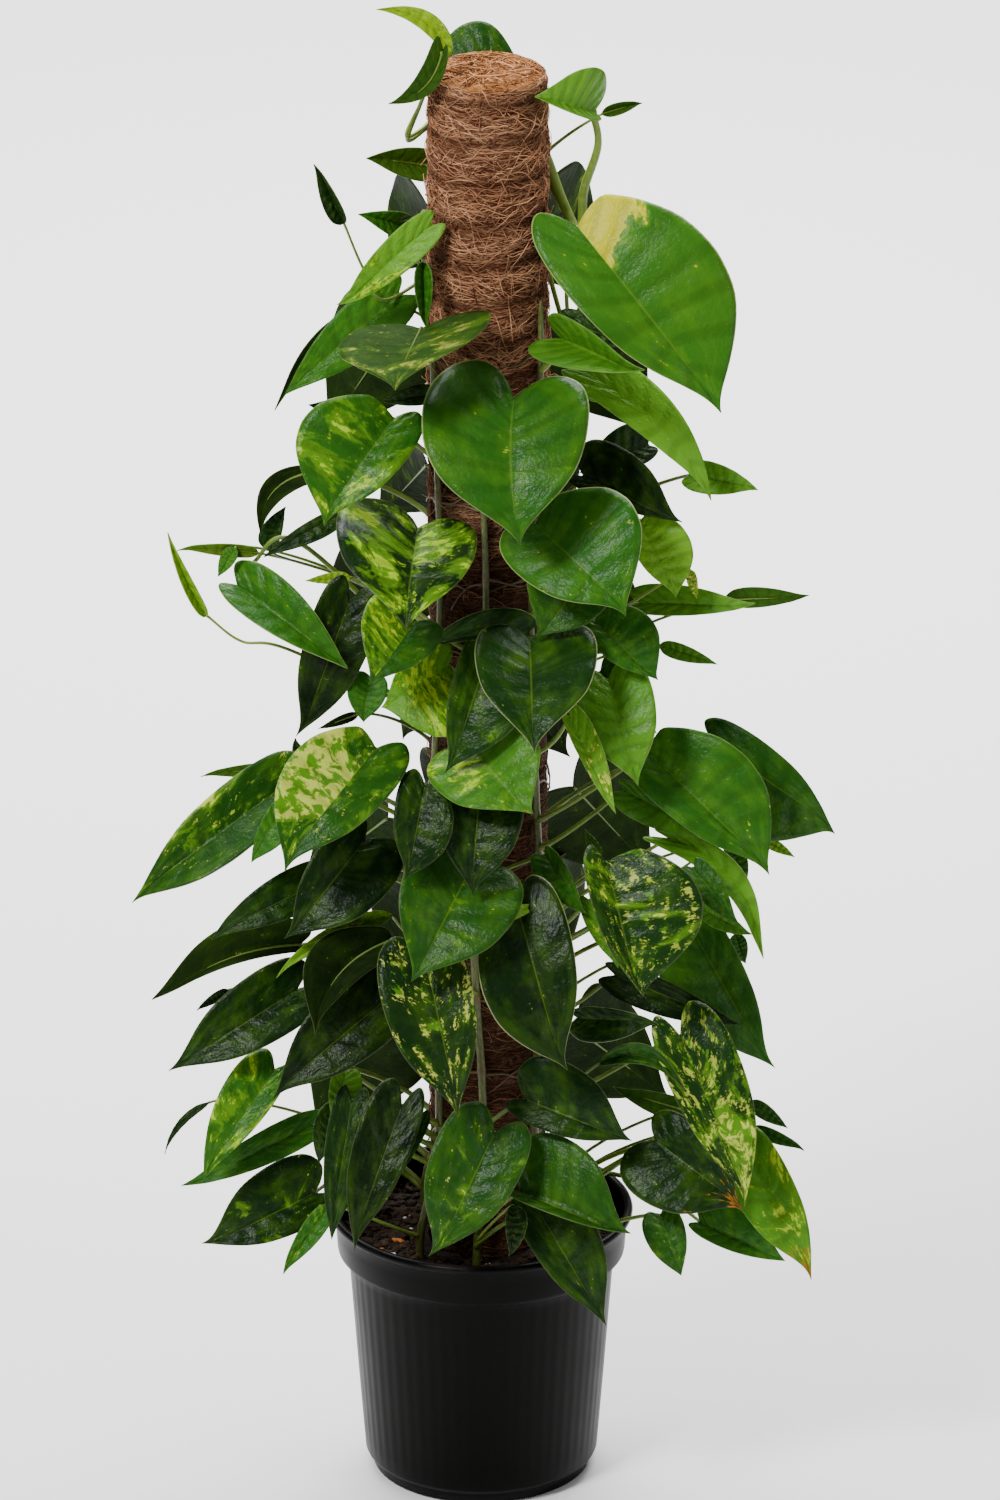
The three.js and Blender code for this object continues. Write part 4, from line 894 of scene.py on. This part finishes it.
# %% Grow the stems
for vine in VINES:
    grown = Grown()
    add_stem(grown, vine)
    for number, (shape, look, flags, via, thick) in enumerate(LEAVES[vine]):
        base, tip = from_photo(*shape[:3]), from_photo(*shape[3:6])
        left, right = shape[6] * MM_PER_PIXEL, shape[7] * MM_PER_PIXEL
        seed = (0.137 * (number + 1) + 0.29 * len(vine)) % 1
        add_leaf(grown, vine, (base, tip, left, right, *shape[8:]), look, flags, seed, via, thick)
    if vine == "vine_back":
        draw = np.random.default_rng(23)
        for number, blade in enumerate(back_blades()):
            patch = draw.choice([0.0, 0.05, 0.1, 0.3], 2)
            # The leaves of the back get dark tones: painted shade, as they hang behind the pole and the
            # front leaves.
            look = (draw.uniform(0.05, 0.35), *patch, draw.uniform(0.1, 0.6), draw.uniform(0.2, 0.8))
            add_leaf(grown, vine, blade, look, "UM" if number % 4 == 0 else "U", (0.071 * number + 0.03) % 1)
    attributes = {"run": np.vstack(grown.run), "look": np.vstack(grown.look), "spot": np.vstack(grown.spot)}
    piece_from(vine + "_grown", np.vstack(grown.points), grown.faces, [LEAF_BLADE, STALK_GREEN],
               attributes, grown.which, [vine])


# %% [markdown]
# ## The coir pole
#
# Coir is the brown fibre of coconut husks. Here it is wound round a stake in rings that bulge between
# the windings and sag a little in front. The body is a turned surface whose radius changes with height and
# turn. On it lie thousands of single fibres, each a thin bent rod of few faces: most follow the winding,
# some cross it, and a few stand off. Their colours run from dark brown to gold, and body and fibres are
# painted darker in the furrows between windings and low on the pole, as shade.

# %% Coir finish
def coir_material(name, fibre):
    """Brown noise stretched round the pole, with painted shade in the furrows and on the lower pole under
    the leaves, and golden on top.
    """
    g = Graph(name)
    shade, top = g.parts("fibre")[:2]
    threads = g.noise(g.place((1.0, 1.0, 5.0)), 210.0, 4.0, 0.65, 1.2)
    clouds = g.noise(g.place(), 38.0)
    dark = g.mix(clouds, rgb(36, 12, 5), rgb(80, 34, 15))
    light = g.mix(clouds, rgb(190, 114, 72), rgb(252, 202, 156))
    # On the body the shade number is painted shade, nought in the furrows; on a fibre it is the fibre's own
    # tone, darkened in the furrows as painted shade.
    color = g.mix(shade if fibre else g.step(threads, 0.42, 0.72) * (0.25 + shade), dark, light)
    color = g.mix(top * 0.4, color, rgb(186, 118, 52))
    # Below about 0.7 m the coir is painted darker: painted shade where the leaves hang over the pole.
    color = g.mix(g.step(g.height(), 0.80, 0.70) * 0.6, color, rgb(20, 11, 6))
    relief = g.bump(threads, 0.25 if fibre else 0.9, 0.0015)
    return g.finish(color, 0.86, relief, Specular_IOR_Level=0.08)


COIR_BODY = coir_material("coir_body", False)
COIR_FIBRE = coir_material("coir_fibre", True)
print("coir finishes made")

# %% Coir body
RING_PITCH = 27.5
DOME_START = POLE_TOP - 5
DOME_RISE = 4.2
DOME_ROWS = 16
COIR_COLUMNS = 110
COIR_ROWS = 300
BORE_RADIUS = 14.3
BORE_TOP = 1000.3


def turned(radius, height, centre_x=0.0):
    """A closed turned surface: rows of a profile, columns round the axis, and a fan at both ends."""
    rows, columns = radius.shape
    angle = 2 * np.pi * np.arange(columns) / columns
    grid = np.stack([centre_x + radius * np.sin(angle), -radius * np.cos(angle), height], axis=-1)
    ends = np.stack([grid[0].mean(0), grid[-1].mean(0)])
    this, after = np.arange(columns), (np.arange(columns) + 1) % columns
    count = rows * columns
    last = (rows - 1) * columns
    faces = grid_faces(rows, columns, wrap=True).tolist()
    faces += np.stack([np.full(columns, count), after, this], axis=-1).tolist()
    faces += np.stack([np.full(columns, count + 1), last + this, last + after], axis=-1).tolist()
    return np.vstack([grid.reshape(-1, 3), ends]), faces


def coir_bulge(angle, z):
    """Nought in the furrow between two windings, and one at the middle of a winding. They sag in front."""
    sag = 5.0 * np.cos(angle) + 2.0 * np.sin(2 * angle + z / 90) + 2.5 * np.sin(z / 43)
    return np.abs(np.sin(np.pi * (z + sag) / RING_PITCH)) ** 0.6


def coir_radius(angle, z):
    """Forty millimetres with the windings' bulges, some lumps, a neck near the top and a shoulder on it."""
    place = np.stack([40 * np.sin(angle), -40 * np.cos(angle), z], axis=-1)
    lumps = 0.35 * waves(place, 26, 3) + 0.2 * waves(place, 9, 4)
    radius = 38.0 + 2.4 * coir_bulge(angle, z) + 0.6 * lumps
    shoulder = np.clip((POLE_TOP - 9 - z) / 9, -1, 1)
    neck = 1.6 * np.exp(-(((z - (POLE_TOP - 24)) / 4.0) ** 2))
    return radius - neck - 3.2 * np.clip(-shoulder, 0, 1) ** 1.5 - 0.6 * np.clip(1 - shoulder, 0, 1)


def coir_surface(angle, z):
    """The radius of the coir at any height, also where it rounds over to the flat top."""
    over = np.clip((z - DOME_START) / DOME_RISE, 0, 0.98)
    return coir_radius(angle, np.minimum(z, DOME_START)) * (1 - over**2) ** 0.225


angle, wall_z = np.meshgrid(2 * np.pi * np.arange(COIR_COLUMNS) / COIR_COLUMNS,
                            np.linspace(SOIL_TOP - 30, DOME_START, COIR_ROWS))
wall_r = coir_radius(angle, wall_z)
angle = angle[:1]
dome = np.linspace(0.06, 1, DOME_ROWS)[:, None] * np.pi / 2
dome_r = wall_r[-1:] * np.cos(dome) ** 0.45
dome_z = DOME_START + DOME_RISE * np.sin(dome) + 0 * angle
crumple = waves(np.stack([dome_r * np.sin(angle), dome_r * np.cos(angle), dome_z], axis=-1), 13, 8)
dome_z = dome_z + 1.1 * crumple * np.sin(dome)
bore = np.array([(2.0, BORE_TOP), (BORE_RADIUS, BORE_TOP), (BORE_RADIUS, POLE_BOTTOM),
                 (38.0, POLE_BOTTOM), (38.5, POLE_BOTTOM + 1)])
radius = np.vstack([bore[:, :1] + 0 * angle, wall_r, dome_r[:-1]])
height = np.vstack([bore[:, 1:] + 0 * angle, wall_z, dome_z[:-1]])
radius[-1] = 2.0
points, faces = turned(radius, height, POLE_X)
fibre = np.zeros((len(points), 4))
# The body's shade number is painted shade: darker in the furrows between windings, lighter on the bulges.
fibre[:, 0] = 0.4 * coir_bulge(np.arctan2(points[:, 0] - POLE_X, -points[:, 1]), points[:, 2])
fibre[:, 1] = np.clip((points[:, 2] - (POLE_TOP - 14)) / 10, 0, 1)
piece_from("coir_body", points, faces, [COIR_BODY], {"fibre": fibre}, nodes=["coir_pole"])

# %% [markdown]
# ## Loose fibres
#
# All fibres of a kind are worked out at once, as one array of paths. Each path runs round the pole by its
# own turn and slope, weaving in and out by a millimetre or so. A fibre has three sides, which is enough
# at its size. Those on the flat top lie across it in all directions.

# %% Fibres
WOUND_COUNT = 4300
WOUND_AT_TOP = 450
CROSSING_COUNT = 3000
TOP_COUNT = 900
BARE_LENGTH = 340


def fibre_piece(name, path, outward, thickness, shade, top):
    """Three-sided rods along many paths at once, with closed ends.

    Every corner is a point of the path plus the thickness times a way across it. The three ways are a third
    of a turn apart, and are reckoned from the side, which is square to the path and to the outward way.
    """
    count, steps = path.shape[:2]
    tangent = unit(np.gradient(path, axis=1))
    side = unit(np.cross(tangent, outward))
    third = np.cross(tangent, side)
    turn = 2 * np.pi * np.arange(3) / 3
    ring = np.cos(turn)[:, None] * side[:, :, None] + np.sin(turn)[:, None] * third[:, :, None]
    rods = path[:, :, None] + ring * thickness[..., None, None]
    shift = (3 * steps * np.arange(count))[:, None, None]
    caps = np.array([[2, 1, 0], [3 * steps - 3, 3 * steps - 2, 3 * steps - 1]])
    faces = (grid_faces(steps, 3, wrap=True)[None] + shift).reshape(-1, 4).tolist()
    faces += (caps[None] + shift).reshape(-1, 3).tolist()
    numbers = np.zeros((count, steps, 3, 4))
    numbers[..., 0], numbers[..., 1] = shade[..., None], top[..., None]
    attributes = {"fibre": numbers.reshape(-1, 4)}
    return piece_from(name, rods.reshape(-1, 3), faces, [COIR_FIBRE], attributes)


def round_fibres(name, angle, height, off, thickness, shade, seed):
    """Fibres round the pole, from turn, height and distance off the coir, thinner toward their ends."""
    count, steps = angle.shape
    over = np.clip((height - (POLE_TOP - 3)) / 4, 0, 1)
    top = over * np.random.default_rng(seed).uniform(0.5, 1, count)[:, None]
    outward = np.stack([np.sin(angle), -np.cos(angle), 0 * angle], axis=-1)
    taper = np.sin(np.pi * np.linspace(0.12, 0.88, steps)) ** 0.5
    # A fibre's own tone is darkened where it lies in a furrow: painted shade.
    shade = shade[:, None] * (0.12 + 0.88 * coir_bulge(angle, height))
    path = round_pole(coir_surface(angle, height) + off, angle, height)
    return fibre_piece(name, path, outward, thickness[:, None] * taper, shade, top)


def wandering(draw, count, steps, size):
    """Smooth small sways: three sine waves of chance phase for each fibre."""
    u = np.linspace(0, 1, steps)[None]
    total = np.zeros((count, steps))
    for pace in (1, 2, 3.3):
        reach = draw.normal(0, size / pace, (count, 1))
        total += reach * np.sin(pace * 3.14 * u + draw.uniform(0, 6.3, (count, 1)))
    return total


def start_heights(draw, count, upper_share):
    """Heights to start from, a share of them only on the bare upper part of the pole."""
    low = np.where(draw.uniform(size=(count, 1)) < upper_share, POLE_TOP - BARE_LENGTH, SOIL_TOP + 4)
    return low + (POLE_TOP - 7 - low) * draw.uniform(size=(count, 1))


draw = np.random.default_rng(41)
count, steps = WOUND_COUNT, 7
u = np.linspace(0, 1, steps)[None] - 0.5
start_z = start_heights(draw, count, 0.62)
start_z[:WOUND_AT_TOP] = POLE_TOP - draw.uniform(0.8, 9, (WOUND_AT_TOP, 1))
turn = draw.uniform(0, FULL_TURN, (count, 1)) + draw.uniform(0.25, 1.25, (count, 1)) * u
wound_z = start_z - 5.0 * np.cos(turn) + wandering(draw, count, steps, 2.2)
wound_z = np.clip(wound_z + draw.normal(0, 3.5, (count, 1)) * u, SOIL_TOP + 1, POLE_TOP - 1)
off = 0.25 + np.abs(wandering(draw, count, steps, 0.45))
thickness, shade = draw.uniform(0.22, 0.48, count), draw.beta(0.9, 1.0, count)
round_fibres("coir_wound_fibres", turn, wound_z, off, thickness, shade, 5)

draw = np.random.default_rng(43)
count = CROSSING_COUNT
start_z = start_heights(draw, count, 0.7)
slant = draw.uniform(-1, 1, (count, 1)) * draw.uniform(4, 34, (count, 1))
turn = draw.uniform(0, FULL_TURN, (count, 1)) + draw.uniform(-0.9, 0.9, (count, 1)) * u
cross_z = np.clip(start_z + slant * u + wandering(draw, count, steps, 3.5), SOIL_TOP + 1, POLE_TOP - 3)
off = 0.3 + np.abs(wandering(draw, count, steps, 0.8))
stray = draw.uniform(size=(count, 1)) < 0.06
off = off + np.where(stray, draw.uniform(1, 9, (count, 1)) * (u + 0.5) ** 2, 0)
thickness, shade = draw.uniform(0.2, 0.44, count), draw.beta(1.3, 0.9, count)
round_fibres("coir_crossing_fibres", turn, cross_z, off, thickness, shade, 6)

# %% Fibres on the flat top
draw = np.random.default_rng(47)
count, steps = TOP_COUNT, 6
u = np.linspace(-1, 1, steps)[None]
heading = draw.uniform(0, FULL_TURN, (count, 1)) + 0.5 * draw.normal(size=(count, 1)) * u
reach = draw.uniform(5, 17, (count, 1))
middle = 33 * np.sqrt(draw.uniform(0, 1, (count, 1)))
bearing = draw.uniform(0, FULL_TURN, (count, 1))
x = middle * np.sin(bearing) + reach * u * np.cos(heading) + wandering(draw, count, steps, 1.5)
y = middle * np.cos(bearing) + reach * u * np.sin(heading) + wandering(draw, count, steps, 1.5)
apart = np.hypot(x, y)
short = np.minimum(1.0, 36.5 / np.maximum(apart, 1))
x, y, apart = x * short, y * short, apart * short
z = POLE_TOP - 0.5 + draw.uniform(-0.9, 2.0, (count, 1)) - 4.4 * (apart / 37) ** 6
z = z + 0.3 * wandering(draw, count, steps, 0.8)
thickness = draw.uniform(0.28, 0.58, (count, 1))
shade, golden = draw.beta(0.7, 1.3, (count, 1)), draw.uniform(0.4, 1, (count, 1))
path = np.stack([POLE_X + x, y, z], axis=-1)
fibre_piece("coir_top_fibres", path, np.array([0.0, 0.0, 1.0]), thickness, shade, golden)

# %% [markdown]
# ## The pot
#
# The nursery pot is thin black plastic with a rolled lip, a smooth collar and fine upright ribs down its
# body. Its surface is a profile of radius and height, turned round the axis. On the body the radius also
# rises and falls sixty times a turn, which makes the ribs.

# %% Pot
def pot_material():
    """Black plastic with a satin face, dusty near the rim and faintly cloudy elsewhere."""
    g = Graph("pot_black_plastic")
    clouds = g.noise(g.place(), 34.0, 4.0)
    grain = g.noise(g.place(), 900.0, 2.0)
    dust = g.step(g.height(), 0.178, 0.196) * g.step(clouds, 0.45, 0.7)
    color = g.mix(dust * 0.35, rgb(5, 5, 4), rgb(40, 34, 33))
    return g.finish(color, 0.30 + clouds * 0.16, g.bump(grain, 0.12, 0.0004), Specular_IOR_Level=0.07)


POT_PLASTIC = pot_material()
RIBS = 60
RIB_HEIGHT = 0.07
POT_COLUMNS = 8 * RIBS
PROFILE = [(4, 0.2), (48, 0.2), (73, 0.2), (75.2, 1), (75.9, 6.4), (77, 8.6), (79.6, 10.2), (80.6, 12.5),
           (84.4, 60), (88.2, 110), (91.4, 152), (92.2, 159.5), (93.6, 161.2), (97.6, 161.6), (99.2, 162.8),
           (99.6, 165), (100.4, 178), (100.6, 186.2), (101.4, 187.6), (103.4, 188.2), (104.6, 189.4),
           (105, 191), (104.4, 192.8), (102.8, 193.8), (101, 194), (99.4, 193.2), (98.6, 191.6), (98.2, 187),
           (97.2, 170), (96.9, 163), (93, 160.6), (90.1, 158), (86.2, 110), (82.4, 60), (78.7, 12),
           (73.6, 3.2), (4, 3.0)]


def pot_piece():
    """The profile with extra rows on the body, and ribs that fade out at the body's ends."""
    rows = []
    for (r0, z0), (r1, z1) in zip(PROFILE[:-1], PROFILE[1:]):
        steps = max(1, int(abs(z1 - z0) / 10))
        share = np.arange(steps) / steps
        rows += list(zip(r0 + (r1 - r0) * share, z0 + (z1 - z0) * share))
    profile = np.array([*rows, PROFILE[-1]])
    angle = 2 * np.pi * np.arange(POT_COLUMNS)[None] / POT_COLUMNS
    inside = (np.arange(len(profile)) > np.argmax(profile[:, 0]))[:, None]
    z = profile[:, 1:]
    fade = np.clip((z - 13) / 6, 0, 1) * np.clip((158 - z) / 5, 0, 1) * (1 - inside)
    radius = profile[:, :1] + RIB_HEIGHT * fade * np.clip(np.cos(RIBS * angle) * 2.2, -1, 1)
    points, faces = turned(radius, np.broadcast_to(z, radius.shape))
    return piece_from("nursery_pot", points, faces, [POT_PLASTIC], nodes=["pot"])


pot_piece()

# %% [markdown]
# ## Potting mix and stake
#
# The soil and the stake keep their solids and only get a finish: the soil a dark crumbly one, the stake
# that of pale wood.

# %% Soil and stake finishes
def soil_material(name, crumb):
    """Dark brown specked with light and black, from noise and each crumb's own shade."""
    g = Graph(name)
    coarse = g.noise(g.place(), 260.0, 4.0, 0.7)
    fine = g.noise(g.place(), 1100.0, 2.0)
    color = g.mix(g.step(coarse, 0.42, 0.62), rgb(16, 11, 8), rgb(44, 31, 22))
    color = g.mix(g.step(fine, 0.6, 0.75) * 0.5, color, rgb(84, 64, 46))
    if crumb:
        shade, white, scrap, _ = g.parts("crumb")
        color = g.mix(shade * 0.8, color, rgb(74, 52, 35))
        color = g.mix(white, color, rgb(205, 200, 188))
        color = g.mix(scrap, color, rgb(186, 112, 48))
    return g.finish(color, 0.94, g.bump(coarse, 0.8, 0.002), Specular_IOR_Level=0.25)


def stake_material():
    """Pale wood with grain lines along the height."""
    g = Graph("stake_wood_finish")
    grain = g.noise(g.place((1, 1, 0.05)), 220.0, 4.0)
    return g.finish(g.mix(grain, rgb(150, 110, 70), rgb(200, 160, 112)), 0.7, g.bump(grain, 0.2, 0.001))


CRUMB_FINISH = soil_material("soil_crumb_finish", True)
kept = {"soil": soil_material("potting_soil_finish", False), "pole_stake": stake_material()}
for name, material in kept.items():
    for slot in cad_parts[name].material_slots:
        slot.material = material
print("finishes on kept solids:", ", ".join(kept))

# %% [markdown]
# ## Crumbs
#
# Crumbs of bark, fibre and a little white perlite lie on the soil, with a few dry leaf scraps. Each crumb
# is a small lump of twenty faces, pulled out of shape by chance, and they differ in size and colour.

# %% Soil crumbs
CRUMB_COUNT = 2600
POLE_HOLE = 45
golden = (1 + np.sqrt(5)) / 2
corner = np.array([(-1, golden, 0), (1, golden, 0), (-1, -golden, 0), (1, -golden, 0),
                   (0, -1, golden), (0, 1, golden), (0, -1, -golden), (0, 1, -golden),
                   (golden, 0, -1), (golden, 0, 1), (-golden, 0, -1), (-golden, 0, 1)])
twenty = np.array([(0, 11, 5), (0, 5, 1), (0, 1, 7), (0, 7, 10), (0, 10, 11), (1, 5, 9), (5, 11, 4),
                   (11, 10, 2), (10, 7, 6), (7, 1, 8), (3, 9, 4), (3, 4, 2), (3, 2, 6), (3, 6, 8),
                   (3, 8, 9), (4, 9, 5), (2, 4, 11), (6, 2, 10), (8, 6, 7), (9, 8, 1)])
draw = np.random.default_rng(71)
count = CRUMB_COUNT
bearing = draw.uniform(0, FULL_TURN, count)
apart = np.sqrt(draw.uniform(47.0**2, 95.0**2, count))
size = draw.gamma(2.4, 0.75, count) + 0.7
stretch = draw.uniform(0.6, 1.7, (count, 1, 3)) * np.array([1.25, 1.25, 0.7])
lump = corner[None] / 1.9 * stretch * (1 + draw.normal(0, 0.16, (count, 12, 1))) * size[:, None, None] * 0.5
spin = draw.uniform(0, FULL_TURN, count)[:, None]
x = apart * np.cos(bearing)
y = apart * np.sin(bearing)
z = SOIL_TOP + 0.5 + 2.5 * np.sin(x / 9) * np.cos(y / 11) + 0.2 * size
spun = [lump[..., 0] * np.cos(spin) - lump[..., 1] * np.sin(spin) + x[:, None],
        lump[..., 0] * np.sin(spin) + lump[..., 1] * np.cos(spin) + y[:, None], lump[..., 2] + z[:, None]]
keep = np.hypot(x - POLE_X, y) > POLE_HOLE + size
number = np.arange(keep.sum())
faces = (twenty[None] + 12 * number[:, None, None]).reshape(-1, 3).tolist()
crumb = np.zeros((len(number), 12, 4))
crumb[..., 0] = draw.beta(1.2, 2.0, len(number))[:, None]
crumb[..., 1] = (draw.uniform(size=len(number)) < 0.012)[:, None]
crumb[..., 2] = (draw.uniform(size=len(number)) < 0.02)[:, None] * 0.8
points = np.stack(spun, axis=-1)[keep].reshape(-1, 3)
attributes = {"crumb": crumb.reshape(-1, 4)}
piece_from("soil_crumbs", points, faces, [CRUMB_FINISH], attributes, smooth=False)


# %% [markdown]
# ## Floor, light and the last line
#
# The plant stands on a plain pale floor, as in a studio. Large soft lamps from the left, the right and
# behind light it, and a white surround fills the shadows. The floor and the lamps aren't part of the object.

# %% Studio
FLOOR_HALF = 14
FLOOR_Z = -0.0006


def floor_material():
    """Plain off-white."""
    return Graph("floor_white").finish((0.9, 0.9, 0.9, 1.0), 0.9, Specular_IOR_Level=0.1)


def soft_lamp(name, place, aim, size, power):
    """A square lamp that faces a place."""
    data = bpy.data.lights.new(name, "AREA")
    data.size = size
    data.energy = power
    lamp = link(name, data)
    lamp.location = place
    lamp.rotation_euler = (Vector(aim) - Vector(place)).to_track_quat("-Z", "Y").to_euler()


mesh = bpy.data.meshes.new("floor")
corners = [(FLOOR_HALF * x, FLOOR_HALF * y, FLOOR_Z) for x, y in ((-1, -1), (1, -1), (1, 1), (-1, 1))]
mesh.from_pydata(corners, [], [(0, 1, 2, 3)])
mesh.materials.append(floor_material())
floor = link("floor", mesh)

soft_lamp("lamp_key", (-1.8, -2.2, 3.3), (0, 0, 0.6), 0.9, 173)
soft_lamp("lamp_fill", (2.8, -1.8, 1.6), (0, 0, 0.5), 1.4, 24)
soft_lamp("lamp_back", (0, 2.1, 2.6), (0, 1.9, 0), 3.0, 300)
world = bpy.data.worlds.new("surround")
world.use_nodes = True
background = world.node_tree.nodes["Background"]
background.inputs["Color"].default_value = (1, 1, 1, 1)
background.inputs["Strength"].default_value = 0.22
bpy.context.scene.world = world
